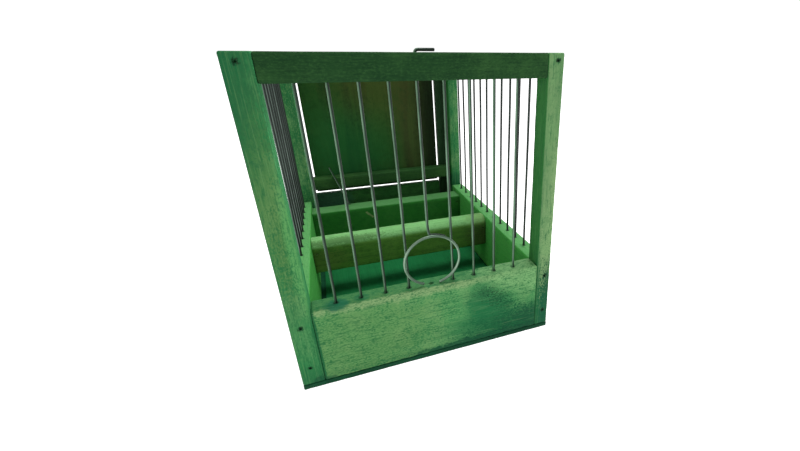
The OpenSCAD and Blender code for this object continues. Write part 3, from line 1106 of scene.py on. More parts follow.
@dataclass
class CrossBar(SawnLength):
    """A cross bar with rounded upper edges.

    Attributes:
        crown: Rounding of the upper edges, in metres.
    """

    crown: float = 6.8 * MM

    def outline(self, width: float, height: float) -> list[tuple]:
        """Walks round the section, with the two upper corners well rounded."""
        return self.rounded_outline(width, height, (self.crown, self.crown, self.edge, self.edge))


@dataclass
class GroovedBoard(SawnLength):
    """A board with a groove along its face that looks at the cage.

    Attributes:
        groove: Lower and upper edge of the groove above the board's foot, and its depth.
    """

    groove: tuple[float, float, float] = (0.0, 0.0, 0.0)

    INWARD = -0.999

    def outline(self, width: float, height: float) -> list[tuple]:
        """Walks round the section and into the groove on its way down the inner face.

        Args:
            width: Size of the section along its first axis.
            height: Size along its second axis.

        Returns:
            The points, as a plain length's outline gives them.
        """
        bottom, top, depth = self.groove
        section = super().outline(width, height)
        inner = [point[2] < self.INWARD for point in section]
        mouth = min(index for index, point in enumerate(section) if inner[index] and point[1] <= top)
        corners = ((0.0, top), (depth, top), (depth, bottom), (0.0, bottom))
        walls = [(across, up, 0.0, 0.0, 0.0) for across, up in corners]
        below = [section[index] for index in range(mouth, len(section))
                 if not (inner[index] and section[index][1] >= bottom)]
        return section[:mouth] + walls + below


def round_tube(path: Sequence[Vector], radii: Sequence[float],
               sides: int = 14) -> tuple[list[Vector], list[tuple]]:
    """Sweeps a round section along a path.

    Args:
        path: Points along the middle.
        radii: Radius at each point, in metres.
        sides: Number of sides of the section.

    Returns:
        The points and faces of a closed tube.
    """
    points: list[Vector] = []
    runs_along_x = abs((path[1] - path[0]).normalized().x) > 0.9
    side = Vector((0.0, 1.0, 0.0)) if runs_along_x else Vector((1.0, 0.0, 0.0))
    for index, spot in enumerate(path):
        before = path[max(0, index - 1)]
        after = path[min(len(path) - 1, index + 1)]
        run = (after - before).normalized()
        side = (side - run * side.dot(run)).normalized()
        other = run.cross(side)
        for count in range(sides):
            angle = 2 * math.pi * count / sides
            points.append(spot + (side * math.cos(angle) + other * math.sin(angle)) * radii[index])
    return points, ring_faces(len(path), sides)


@dataclass
class RoundPiece:
    """Round lengths, such as wires or nails, that stand for a CAD node.

    Attributes:
        node: CAD node they stand for.
        body: CAD body they ride on.
        slot: Material slot of the record; not used.
        finish: Their finish.
        runs: Middle line of each length and its radius at each point of that line.
    """

    node: str
    body: str
    slot: str
    finish: bpy.types.Material
    runs: list[tuple[list[Vector], list[float]]]

    SHARP_DEGREES = 50.0

    def make(self, part: str = "wire") -> bpy.types.Object:
        """Builds and dresses the lengths and puts them in the node's place.

        Args:
            part: Word for the piece's name.

        Returns:
            The finished piece.
        """
        points: list[Vector] = []
        faces: list[tuple] = []
        for path, radii in self.runs:
            tube_points, tube_faces = round_tube(path, radii)
            offset = len(points)
            points += tube_points
            faces += [tuple(index + offset for index in face) for face in tube_faces]
        mesh = new_mesh(f"{self.node}_{part}", points, faces)
        soften(mesh, self.SHARP_DEGREES)
        piece = place_object(mesh.name, mesh)
        dress(piece, self.finish)
        return settle(piece, self.node, self.body)


def snipped(path: list[Vector], radius: float, inset: float = 0.35,
            tip: float = 0.6) -> tuple[list[Vector], list[float]]:
    """Rounds both ends of a wire slightly, as the snips do.

    Args:
        path: Points along the wire.
        radius: Radius of the wire, in metres.
        inset: Length of the rounding, as a share of the radius.
        tip: Radius of the cut face, as a share of the radius.

    Returns:
        The points, and the wire's radius at each.
    """
    start_way = (path[1] - path[0]).normalized()
    end_way = (path[-1] - path[-2]).normalized()
    length = inset * radius
    full = [path[0], path[0] + start_way * length, *path[1:-1], path[-1] - end_way * length, path[-1]]
    return full, [tip * radius] + [radius] * (len(full) - 2) + [tip * radius]


def hand_straightened(start: Vector, end: Vector, bow: float, seed: float,
                      pieces: int = 22) -> list[Vector]:
    """Draws a nearly straight wire, with the slight bow that straightening by hand leaves.

    Args:
        start: One end.
        end: The other end.
        bow: Greatest distance from the straight line, in metres.
        seed: Number that tells one wire from another.
        pieces: Number of stretches.

    Returns:
        Points from start to end.
    """
    wire_step, sway_pace = (7.3, 1.9), 2.1
    path = []
    run = (end - start).normalized()
    for count in range(pieces + 1):
        share = count / pieces
        spot = Vector((seed * wire_step[0], share * sway_pace, seed * wire_step[1]))
        sway = noise.noise_vector(spot)
        sway -= run * sway.dot(run)
        path.append(start.lerp(end, share) + sway * bow * math.sin(math.pi * share))
    return path


def rounded_bends(corners: Sequence[Vector], bend: float, steps: int = 8) -> list[Vector]:
    """Rounds the corners of a bent wire's middle line.

    Args:
        corners: Ends and corners of the line.
        bend: Length that each bend takes from the straight runs beside it, in metres.
        steps: Number of stretches in each bend.

    Returns:
        Points of the rounded line.
    """
    most = 0.45
    line = [corners[0]]
    for before, corner, after in zip(corners, corners[1:], corners[2:]):
        back, on = before - corner, after - corner
        into = corner + back.normalized() * min(bend, most * back.length)
        out = corner + on.normalized() * min(bend, most * on.length)
        for count in range(steps + 1):
            share = count / steps
            line.append(into.lerp(corner, share).lerp(corner.lerp(out, share), share))
    line.append(corners[-1])
    return line


@dataclass
class Nails:
    """Sunk nails with domed heads and drawn points.

    Attributes:
        sink: Depth of the heads below the wood, in metres.
        slack: How much wider the holes over the heads are than the nails, in metres.
        dome: Height of a head's dome, in metres.
        point: Length of a point, in metres.
    """

    sink: float = 0.8 * MM
    slack: float = 0.12 * MM
    dome: float = 0.25 * MM
    point: float = 2.2 * MM

    NODES = ("nails_front", "nails_back", "nails_side", "nails_base", "nails_cross_bars", "nails_stile")
    FROM_THE_FRONT = ("nails_front", "nails_cross_bars")
    # Place of the bend in the dome, and the radii from the crown to the tip, as shares.
    BROW = 0.4
    RADII = (0.45, 0.82, 1.0, 1.0, 0.12)

    def outward(self, node: str, solid: Solid) -> Vector:
        """Finds the way in which a nail's head looks.

        Args:
            node: CAD node of the nail.
            solid: The nail's solid.

        Returns:
            The way, of length 1.
        """
        if node == "nails_side":
            return Vector((math.copysign(1.0, solid.low.x), 0.0, 0.0))
        if node == "nails_base":
            return Vector((0.0, 0.0, -1.0))
        return Vector((0.0, -1.0 if node in self.FROM_THE_FRONT else 1.0, 0.0))

    def driven(self, node: str) -> list[tuple[Vector, Vector, Vector, float]]:
        """Finds the nails of one node.

        Args:
            node: CAD node of the nails.

        Returns:
            Each nail's head, its tip, the way in which it was driven and its radius.
        """
        nails = []
        for solid in cad_solids(node):
            outward = self.outward(node, solid)
            head, tip = solid.outer_end(outward), solid.inner_end(outward)
            nails.append((head, tip, (tip - head).normalized(), solid.radius))
        return nails

    def holes(self, node: str) -> list[Hole]:
        """Holes over the sunk heads of one node's nails."""
        return [Hole(head - way * self.sink, way, self.sink, radius + self.slack)
                for head, _, way, radius in self.driven(node)]

    def make(self, finish: bpy.types.Material) -> None:
        """Builds all nails.

        Args:
            finish: Finish of the nails.
        """
        for node in self.NODES:
            runs = []
            for head, tip, way, radius in self.driven(node):
                line = [head, head + way * self.BROW * self.dome, head + way * self.dome,
                        tip - way * self.point, tip]
                runs.append((line, [share * radius for share in self.RADII]))
            RoundPiece(node, "cage", "nail_steel", finish, runs).make("nails")


def on_faces(node: str, holes: Iterable[Hole], slack: float = 0.5 * MM) -> list[Hole]:
    """Picks the holes that lie on one of a node's faces.

    Args:
        node: The CAD node.
        holes: Holes to pick from.
        slack: How far a hole's mouth may lie outside the node's box, in metres.

    Returns:
        Its holes.
    """
    low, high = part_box(node)
    return [hole for hole in holes
            if all(low[axis] - slack <= hole.start[axis] <= high[axis] + slack for axis in range(3))]


@dataclass
class CageFrame:
    """Base board, posts, rails and the rail under the door.

    Attributes:
        wire_hole: Radius of the wire holes, in metres.
        wire_hole_depth: How deep the wire holes are cut, in metres.
        nails: The nails that hold it.
    """

    wire_hole: float = 0.95 * MM
    wire_hole_depth: float = 1.6 * MM
    nails: Nails = field(default_factory=Nails)

    def wire_holes(self, spots: Iterable[tuple[float, float]], height: float) -> list[Hole]:
        """Mouths of drilled wire holes at level spots on a rail's top."""
        down = Vector((0.0, 0.0, -1.0))
        return [Hole(Vector((x, y, height)), down, self.wire_hole_depth, self.wire_hole) for x, y in spots]

    def front_rail(self) -> None:
        """Builds the front bottom rail with its stain marks."""
        low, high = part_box("front_rail")
        bars = cad_solids("front_bars")
        bar_y = (bars[0].low.y + bars[0].high.y) / 2
        bar_xs = [(bar.low.x + bar.high.x) / 2 for bar in bars]
        pitch = bar_xs[1] - bar_xs[0]
        count = round((bar_xs[-1] - bar_xs[0]) / pitch) + 1
        empty_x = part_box("drinker_bar")[0].x + bars[0].radius
        left, right = (low.x, low.y, low.z), (high.x, low.y, low.z)
        top_right = (high.x, low.y, high.z)
        pools = (
            Pool.near(left, (24, 0, 22), (38, 9, 26), stain(88, 122, 66), 0.4, 1.0),
            Pool.near((0.0, low.y, high.z), (0, -1.5, 0), (92, 3, 4.4), EDGE_GREEN, 0.8, 0.6, 0.4),
            Pool.near(top_right, (-2, 0, 0), (34, 18, 14), stain(112, 158, 102), 0.8, 0.8, 0.6),
            Pool.near(right, (-38, 0, 26), (9, 9, 14), STREAM_GREEN, 0.8, 0.7, 1.2),
            Pool.near(right, (-30, 0, 18), (14, 9, 14), STREAM_GREEN, 0.9, 0.6, 1.2),
            Pool.near(right, (-36, 0, 8), (20, 9, 12), STREAM_GREEN, 0.7, 0.8, 1.2),
            Pool.near(top_right, (-34, 0, -11), (5, 9, 3), HOLE_STAIN, 0.55, 0.3, 5.0),
            Pool.near(top_right, (-27, 0, -17), (5, 9, 3.6), HOLE_STAIN, 0.55, 0.3, 5.0),
            Pool.near(top_right, (-20, 0, -24), (5, 9, 3), HOLE_STAIN, 0.5, 0.3, 5.0),
            Pool.near(right, (-4, 0, 1), (42, 20, 18), BLUE_GREEN, 0.95, 0.5, 1.1),
            Pool.near(right, (2, 0, 6), (24, 20, 11), DARK_TEAL, 0.7, 0.7, 1.1),
            Pool.near(right, (-20, 0, 0), (60, 4, 4.4), DARK_TEAL, 0.95, 0.3, 0.5),
            Pool.near(left, (0, 0, 22), (1.3, 8, 34), DEEP_GREEN, 0.95, 0.4, 0.7),
            Pool.near((bar_xs[0], bar_y, high.z), (0, -2, 0), (6, 5, 2.4), stain(20, 88, 63), 0.9, 0.5, 0.6),
            Pool.near((bar_xs[1], bar_y, high.z), (0, 0, 0), (4, 3.4, 2.4), stain(26, 93, 59), 0.7, 0.5, 0.6),
            Pool.near(left, (0, 0, 0), (6, 9, 2.4), DARK_TEAL, 0.7, 0.5, 0.6),
        )
        finish = StainedWood("green front rail", Grain.ALONG_X, patchy=0.55, specks=0.8, fibres=0.45,
                             dashes=0.5, bands=0.4, pools=pools,
                             # Painted shade: the rail's top is painted a darker green than its front.
                             sides=(PaintedSideShading(Grain.ALONG_Z, 1, stain(59, 112, 66), 0.85),),
                             rows=(HoleRow(Grain.ALONG_X, bar_xs[0], pitch, count, bar_y),))
        spots = [(x, bar_y) for x in bar_xs] + [(empty_x, bar_y)]
        SawnLength("front_rail", "cage", "green_wood", finish, step=1.8 * MM,
                   cuts=self.wire_holes(spots, high.z)).make()

    def side_rails(self) -> None:
        """Builds the two bottom side rails."""
        for side, inner_way in (("left", 1), ("right", -1)):
            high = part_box(f"side_rail_{side}")[1]
            bars = cad_solids(f"side_bars_{side}")
            spots = [((bar.low.x + bar.high.x) / 2, (bar.low.y + bar.high.y) / 2) for bar in bars]
            row = HoleRow(Grain.ALONG_Y, spots[0][1], spots[1][1] - spots[0][1], len(spots), spots[0][0])
            # Painted light: the inner faces and the tops are painted lighter, as where light falls on them.
            inner = PaintedSideShading(Grain.ALONG_X, inner_way, stain(86, 182, 84), 0.9)
            top = PaintedSideShading(Grain.ALONG_Z, 1, MINT, 0.9)
            SawnLength(f"side_rail_{side}", "cage", "green_wood",
                       StainedWood(f"green {side} rail", Grain.ALONG_Y, body=stain(58, 117, 58), specks=0.3,
                                   fibres=0.25, dashes=0.2, sides=(inner, top), rows=(row,)),
                       cuts=self.wire_holes(spots, high.z)).make()

    def post_marks(self) -> dict[str, tuple[Pool, ...]]:
        """Stain marks of the posts.

        Returns:
            The marks of each post by its node.
        """
        rail_low, rail_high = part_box("front_rail")
        base_low, base_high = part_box("base_board")
        front, foot, top = rail_low.y, rail_low.z, rail_high.z
        outer_left, inner_left = (base_low.x, front, 0.0), (rail_low.x, front, 0.0)
        outer_right, inner_right = (base_high.x, front, 0.0), (rail_high.x, front, 0.0)
        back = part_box("post_back_right")[0].y
        nail_stains = tuple(Pool.near(nail.outer_end(Vector((0.0, -1.0, 0.0))), (0, 0, 0), (1.5, 1.5, 1.5),
                                      stain(8, 36, 22), 0.9, 0.6, 0.6) for nail in cad_solids("nails_front"))
        return {
            "post_front_left": (
                Pool.near(outer_left, (4, 0, 20), (11, 9, 30), stain(34, 112, 62), 0.55, 0.9),
                Pool.near(outer_left, (4, 0, 4), (9, 9, 9), stain(24, 92, 54), 0.6, 1.0, 1.4),
                Pool.near((rail_low.x, front, 0.5 * top), (0, 0, 0), (1.2, 3, 34), DEEP_GREEN, 0.9, 0.5, 1.2),
                Pool.near(outer_left, (5, 0, 118), (5, 6, 50), stain(78, 114, 60), 0.6, 1.0, 1.2),
                Pool.near(outer_left, (-4, 0, 172), (16, 9, 48), stain(24, 84, 50), 0.85, 0.9),
                # A light strip along the inner edge of the front face: partly a worn edge, partly a painted
                # highlight.
                Pool.near(inner_left, (-1, 0, 82), (2.6, 5, 30), MINT, 0.7, 0.9),
                Pool.near((rail_low.x, front, foot), (0, 0, 0), (7, 6, 4), DARK_TEAL, 0.8, 0.5, 0.5),
                *nail_stains),
            "post_front_right": (
                Pool.near(outer_right, (0, 0, 12), (8.5, 9, 34), stain(12, 70, 46), 0.95, 0.4, 1.4),
                Pool.near(inner_right, (4, 0, 4), (8, 9, 24), stain(16, 78, 52), 0.85, 0.6, 1.3),
                Pool.near(outer_right, (-6, 0, 140), (3, 6, 60), DEEP_GREEN, 0.3, 0.8, 3.0),
                Pool.near(inner_right, (0, 0, 24), (2.8, 5, 34), DEEP_GREEN, 0.75, 0.8, 1.2),
                *nail_stains),
            "post_back_left": (),
            "post_back_right": (
                Pool.near((rail_high.x, back, top), (3, 0, 4), (9, 9, 8), BLUE_GREEN, 0.9, 0.5),),
        }

    def posts(self) -> None:
        """Builds the four posts with their nail holes."""
        nodes = ("nails_front", "nails_back", "nails_side")
        holes = [hole for node in nodes for hole in self.nails.holes(node)]
        bodies = {"post_front_left": POST_GREEN, "post_front_right": stain(118, 148, 100),
                  "post_back_left": stain(40, 98, 52), "post_back_right": stain(44, 112, 62)}
        # Painted light and shade: the left posts' inner faces are painted lighter, as lit from the right, and
        # the right posts' inner faces darker, as in shade.
        inner_left = PaintedSideShading(Grain.ALONG_X, 1, stain(70, 152, 94), 0.9)
        inner_right = PaintedSideShading(Grain.ALONG_X, -1, stain(42, 110, 48), 0.9)
        for post, marks in self.post_marks().items():
            inner = inner_left if post.endswith("left") else inner_right
            SawnLength(post, "cage", "green_wood",
                       StainedWood(f"green {post.replace('_', ' ')}", Grain.ALONG_Z, body=bodies[post],
                                   specks=0.6, fibres=0.45, dashes=0.5, bands=0.4, sides=(inner,),
                                   pools=marks),
                       cuts=on_faces(post, holes)).make()

    def upper_rails(self) -> None:
        """Builds the four upper rails."""
        for node, grain in (("top_front_rail", Grain.ALONG_X), ("top_side_rail_left", Grain.ALONG_Y),
                            ("top_side_rail_right", Grain.ALONG_Y), ("top_back_rail", Grain.ALONG_X)):
            SawnLength(node, "cage", "dark_green_wood",
                       StainedWood(f"dark {node.replace('_', ' ')}", grain, body=stain(28, 62, 30),
                                   pale=stain(50, 88, 44), deep=stain(14, 44, 22))).make()

    def make(self) -> None:
        """Builds all the pieces of the frame."""
        SawnLength("base_board", "cage", "teal_board",
                   StainedWood("teal base board", Grain.ALONG_X, body=stain(16, 64, 40),
                               pale=stain(22, 84, 54), deep=stain(10, 46, 30), specks=0.4, fibres=0.3,
                               patchy=0.3),
                   edge=0.5 * MM, chips=0.35 * MM, step=3.0 * MM, cuts=self.nails.holes("nails_base")).make()
        self.front_rail()
        self.side_rails()
        self.posts()
        self.upper_rails()
        SawnLength("door_batten", "cage", "green_wood",
                   StainedWood("dark batten", Grain.ALONG_X, body=stain(34, 70, 32), pale=stain(50, 88, 40),
                               deep=NIGHT_GREEN, patchy=0.6)).make()


@dataclass
class CrossBars:
    """The two heavy bars between the side rails.

    Attributes:
        front_crown: Rounding of the front bar's upper edges, in metres.
        rear_crown: Rounding of the rear bar's upper edges, in metres.
        nails: The slanted nails that hold them.
    """

    front_crown: float = 6.8 * MM
    rear_crown: float = 1.6 * MM
    nails: Nails = field(default_factory=Nails)

    SCRATCH_STEPS = (0.0, 1.2, 2.4, 3.6, 4.8)

    def front(self, holes: Sequence[Hole]) -> None:
        """Builds the front bar, with its top painted lighter as painted light, and lighter and darker patches
        near its ends.

        Args:
            holes: Holes over the nails.
        """
        low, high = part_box("cross_bar_front")
        flecks = (
            Pool.near((low.x, low.y, high.z), (20, 2, -2), (26, 3, 3), stain(60, 96, 48), 0.7, 0.6, 1.6),
            Pool.near((high.x, low.y, low.z), (0, 0, 8), (16, 5, 11), stain(62, 72, 40), 0.75, 0.9, 1.0),
            Pool.near((high.x, low.y, high.z), (0, 5, 0), (13, 15, 7), stain(88, 118, 62), 0.6, 1.0, 1.0),
            Pool.near((low.x, low.y, low.z), (0, 0, 9), (20, 4, 8), stain(96, 108, 56), 0.4, 0.9, 1.0))
        # Painted light: the top and crown are painted lighter, as lit from above.
        lit_top = PaintedSideShading(Grain.ALONG_Z, 1, stain(108, 162, 100), 1.0, 0.1)
        CrossBar("cross_bar_front", "cage", "olive_wood",
                 StainedWood("olive cross bar", Grain.ALONG_X, body=stain(76, 122, 48),
                             pale=stain(92, 136, 60), deep=NIGHT_GREEN, sides=(lit_top,), pools=flecks,
                             fibres=0.35, specks=0.25, dashes=0.25),
                 cuts=on_faces("cross_bar_front", holes), crown=self.front_crown).make()

    def rear(self, holes: Sequence[Hole]) -> None:
        """Builds the rear bar, with the scratch on its face.

        Args:
            holes: Holes over the nails.
        """
        low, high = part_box("cross_bar_rear")
        scratch = tuple(Pool.near((low.x, low.y, high.z), (44.6 + step, 0, -(5.0 + step)), (1.1, 2, 0.8),
                                  stain(118, 142, 92), 0.85, 0.5, 0.3) for step in self.SCRATCH_STEPS)
        # Painted light: the top is painted lighter, as lit from above.
        CrossBar("cross_bar_rear", "cage", "dark_green_wood",
                 StainedWood("green cross bar", Grain.ALONG_X, body=stain(38, 106, 38),
                             pale=stain(52, 116, 48), deep=stain(22, 74, 34),
                             sides=(PaintedSideShading(Grain.ALONG_Z, 1, stain(67, 117, 66)),),
                             pools=scratch, fibres=0.3, specks=0.2, dashes=0.2, patchy=0.6),
                 cuts=on_faces("cross_bar_rear", holes), crown=self.rear_crown).make()

    def make(self) -> None:
        """Builds both bars."""
        holes = self.nails.holes("nails_cross_bars")
        self.front(holes)
        self.rear(holes)


@dataclass
class Bars:
    """Wire bars of the front, sides and roof, and the wire that leans over the rear rail.

    Attributes:
        bow: Greatest sway of a bar, in metres.
        prop_bow: Sway of the leaning wire, in metres.
    """

    bow: float = 0.3 * MM
    prop_bow: float = 0.15 * MM

    NODES = ("front_bars", "side_bars_left", "side_bars_right", "roof_wires", "wire_prop")
    SEED_STEP = 0.37

    def make(self, finish: bpy.types.Material) -> None:
        """Builds every fixed wire.

        Args:
            finish: Finish of the front wires and the roof wires.
        """
        # Painted shade: the right side wires stand against the light and are painted darker than the left
        # ones.
        left = DrawnWire("left side wire", stain(96, 112, 102), stain(36, 44, 40)).build()
        right = DrawnWire("right side wire", stain(66, 76, 70), stain(20, 26, 23)).build()
        finishes = {"side_bars_left": left, "side_bars_right": right}
        for node in self.NODES:
            bow = self.prop_bow if node == "wire_prop" else self.bow
            runs = []
            for count, solid in enumerate(cad_solids(node)):
                seed = count + self.SEED_STEP * len(node)
                runs.append(snipped(hand_straightened(solid.start, solid.end, bow, seed), solid.radius))
            RoundPiece(node, "cage", "wire", finishes.get(node, finish), runs).make()


@dataclass
class DrinkerClip:
    """The middle bar that lifts, with its bent foot, and the open ring in front of it.

    Attributes:
        wire: Radius of the wire, in metres.
        ring: Radius of the ring's middle line, in metres.
        lean: Forward lean of the ring, in degrees.
        open_left: Opening of the ring left of its lowest point, in degrees.
        open_right: Opening right of it, in degrees.
        aside: How far the ring's middle lies right of the bar, in metres.
        foot_back: Distance from the ring's middle line back to the foot's, in metres.
        foot_turn: Length of the foot along the ring, in degrees.
        rest: Height of the ring's free ends above the rail, in metres.
        bend: Length that each bend takes from the straight runs, in metres.
        drop: Height of the bend between bar and foot, in metres.
    """

    wire: float = 0.75 * MM
    ring: float = 15.5 * MM
    lean: float = 5.0
    open_left: float = 20.0
    open_right: float = 13.0
    aside: float = 0.8 * MM
    foot_back: float = 1.55 * MM
    foot_turn: float = 34.0
    rest: float = 0.25 * MM
    bend: float = 1.6 * MM
    drop: float = 3.5 * MM

    LOWEST = 270
    RING_STEPS = 96
    FOOT_STEPS = 16

    def ring_matrix(self) -> Matrix:
        """Finds the place and lean of the ring's middle.

        Returns:
            Their matrix.
        """
        low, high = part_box("drinker_ring")
        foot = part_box("front_rail")[1].z + self.rest + self.wire
        rise = self.ring * math.cos(math.radians(min(self.open_left, self.open_right)))
        lean = Matrix.Rotation(math.radians(self.lean), 4, "X")
        pivot = Vector(((low.x + high.x) / 2, high.y - self.wire, foot))
        return Matrix.Translation(pivot) @ lean @ Matrix.Translation((0.0, 0.0, rise))

    def arc(self, start: float, end: float, back: float, steps: int) -> list[Vector]:
        """Draws part of the ring's circle.

        Args:
            start: Angle where it starts, in degrees.
            end: Angle where it ends.
            back: Distance behind the ring's plane, in metres.
            steps: Number of stretches.

        Returns:
            Points from start to end.
        """
        matrix = self.ring_matrix()
        angles = [math.radians(start + (end - start) * count / steps) for count in range(steps + 1)]
        return [matrix @ Vector((self.ring * math.cos(angle), back, self.ring * math.sin(angle)))
                for angle in angles]

    def make(self, finish: bpy.types.Material) -> None:
        """Builds the ring and the bar.

        Args:
            finish: Finish of the bar's wire.
        """
        # Painted highlight: the ring's wire is a lighter copy of the bar's wire.
        highlighted = DrawnWire("handled ring wire", stain(152, 178, 155), stain(70, 92, 75)).build()
        circle = self.arc(self.LOWEST + self.open_right, self.LOWEST + 360 - self.open_left, 0.0,
                          self.RING_STEPS)
        RoundPiece("drinker_ring", "drinker", "wire", highlighted, [snipped(circle, self.wire)]).make()
        foot_start = math.degrees(math.acos(-self.aside / self.ring))
        foot = self.arc(foot_start, foot_start - self.foot_turn, self.foot_back, self.FOOT_STEPS)
        low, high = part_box("drinker_bar")
        bar = Vector((low.x + self.wire, high.y - self.wire, foot[0].z + self.drop))
        top = Vector((bar.x, bar.y, high.z - self.wire))
        stop = Vector((high.x, top.y, top.z))
        line = rounded_bends([stop, top, bar, foot[0], foot[2]], self.bend) + foot[3:]
        RoundPiece("drinker_bar", "drinker", "wire", finish, [snipped(line, self.wire)]).make()


@dataclass
class FiledPart:
    """A small part with its sharp edges filed off, which stands for a CAD node.

    Attributes:
        node: CAD node it stands for.
        body: CAD body it rides on.
        slot: Material slot of the record.
        finish: Its finish.
        filed: Width taken off each edge, in metres.
        cuts: Holes and grooves.
    """

    node: str
    body: str
    slot: str
    finish: bpy.types.Material
    filed: float = 0.14 * MM
    cuts: list[Cut] = field(default_factory=list)

    SHARP = math.radians(40)
    FLAT = math.radians(0.5)
    SEGMENTS = 2
    FULLNESS = 0.6

    def make(self) -> bpy.types.Object:
        """Files and dresses the part and puts it in the node's place.

        Returns:
            The finished piece.
        """
        work = bmesh.new()
        work.from_mesh(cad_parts[self.node].data)
        bmesh.ops.remove_doubles(work, verts=work.verts, dist=WELD)
        bmesh.ops.dissolve_limit(work, angle_limit=self.FLAT, verts=work.verts, edges=work.edges)
        sharp = [edge for edge in work.edges
                 if len(edge.link_faces) == 2 and edge.calc_face_angle(0.0) > self.SHARP]
        bmesh.ops.bevel(work, geom=sharp, offset=self.filed, segments=self.SEGMENTS, profile=self.FULLNESS,
                        affect="EDGES", clamp_overlap=True)
        mesh = bpy.data.meshes.new(self.node + "_filed")
        work.to_mesh(mesh)
        work.free()
        piece = place_object(mesh.name, mesh)
        if self.cuts:
            cut_out(piece, self.cuts)
        soften(piece.data)
        dress(piece, self.finish)
        return settle(piece, self.node, self.body)


@dataclass
class RearDoor:
    """The door leaf, its stile and their two small hinges.

    Attributes:
        edge: Rounding of the boards' edges, in metres.
        chips: Depth of the chips in the edges, in metres.
        filed_plates: Width filed off the hinge plates' edges, in metres.
        filed_nails: Width filed off the hinge nails' edges, in metres.
        nails: The nails that hold the stile.
    """

    edge: float = 0.45 * MM
    chips: float = 0.3 * MM
    filed_plates: float = 0.14 * MM
    filed_nails: float = 0.2 * MM
    nails: Nails = field(default_factory=Nails)

    PIN_DOME = 0.3
    PIN_END = 0.6

    def leaf_finish(self) -> StainedWood:
        """Dark stain in soft upright bands, browner at the upper right.

        Returns:
            The leaf's finish.
        """
        low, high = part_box("door_leaf")
        middle_right = (high.x, low.y, (low.z + high.z) / 2)
        marks = (
            Pool.near((low.x, low.y, high.z), (62, 0, -4), (36, 20, 46), stain(64, 74, 30), 0.7, 1.4, 0.4),
            Pool.near(middle_right, (-22, 0, 0), (16, 20, 60), OLIVE_BROWN, 0.6, 1.3, 0.4),
            Pool.near(low, (30, 0, 34), (36, 20, 34), stain(22, 84, 40), 0.6, 1.4, 0.4),
            Pool.near(middle_right, (-2, 0, 0), (13, 20, 80), stain(16, 26, 10), 0.92, 1.5, 0.2),
        )
        return StainedWood("night green door", Grain.ALONG_Z, body=stain(32, 74, 28), pale=stain(48, 84, 34),
                           deep=stain(16, 46, 20), fibres=0.2, specks=0.1, dashes=0.1, bands=0.85,
                           band_scale=90.0, pools=marks)

    def pins(self, brass: bpy.types.Material) -> None:
        """Builds the hinges' pins.

        Args:
            brass: Finish of the pins.
        """
        runs = []
        for pin in cad_solids("hinge_pins"):
            dome = (pin.end - pin.start).normalized() * self.PIN_DOME * pin.radius
            end = self.PIN_END * pin.radius
            runs.append(([pin.start, pin.start + dome, pin.end - dome, pin.end],
                         [end, pin.radius, pin.radius, end]))
        RoundPiece("hinge_pins", "cage", "hinge_brass", brass, runs).make("pins")

    def make(self, brass: bpy.types.Material) -> None:
        """Builds the door.

        Args:
            brass: Finish of the hinges.
        """
        SawnLength("door_leaf", "door", "door_wood", self.leaf_finish(), edge=self.edge,
                   chips=self.chips).make()
        SawnLength("door_stile", "cage", "teal_board",
                   StainedWood("dark stile", Grain.ALONG_Z, body=stain(32, 56, 34), pale=stain(44, 72, 44),
                               deep=NIGHT_GREEN),
                   edge=self.edge, chips=self.chips, cuts=self.nails.holes("nails_stile")).make()
        for kind, filed in (("plates", self.filed_plates), ("nails", self.filed_nails)):
            for place, body in (("fixed", "cage"), ("door", "door")):
                FiledPart(f"hinge_{kind}_{place}", body, "hinge_brass", brass, filed).make()
        self.pins(brass)


@dataclass
class TurnButton:
    """The turn button, its block and its slotted screw.

    Attributes:
        block_edge: Rounding of the block's edges, in metres.
        filed_button: Width filed off the button's edges, in metres.
        filed_screw: Width filed off the screw's edges, in metres.
        slot_width: Width of the screw's slot, in metres.
        slot_depth: Depth of that slot, in metres.
    """

    block_edge: float = 0.5 * MM
    filed_button: float = 0.4 * MM
    filed_screw: float = 0.3 * MM
    slot_width: float = 0.7 * MM
    slot_depth: float = 0.6 * MM

    def make(self, brass: bpy.types.Material) -> None:
        """Builds the three pieces.

        Args:
            brass: Finish of the screw.
        """
        SawnLength("button_block", "cage", "green_wood",
                   StainedWood("green block", Grain.ALONG_Z, body=POST_GREEN), edge=self.block_edge).make()
        button_wood = StainedWood("green button", Grain.ALONG_Z, body=stain(70, 132, 70)).build()
        FiledPart("turn_button", "button", "green_wood", button_wood, self.filed_button).make()
        low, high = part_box("button_screw")
        middle = (low.z + high.z) / 2
        slot = Groove(Vector((low.x - MM, high.y - self.slot_depth, middle - self.slot_width / 2)),
                      Vector((high.x + MM, high.y + MM, middle + self.slot_width / 2)))
        FiledPart("button_screw", "cage", "hinge_brass", brass, self.filed_screw, [slot]).make()


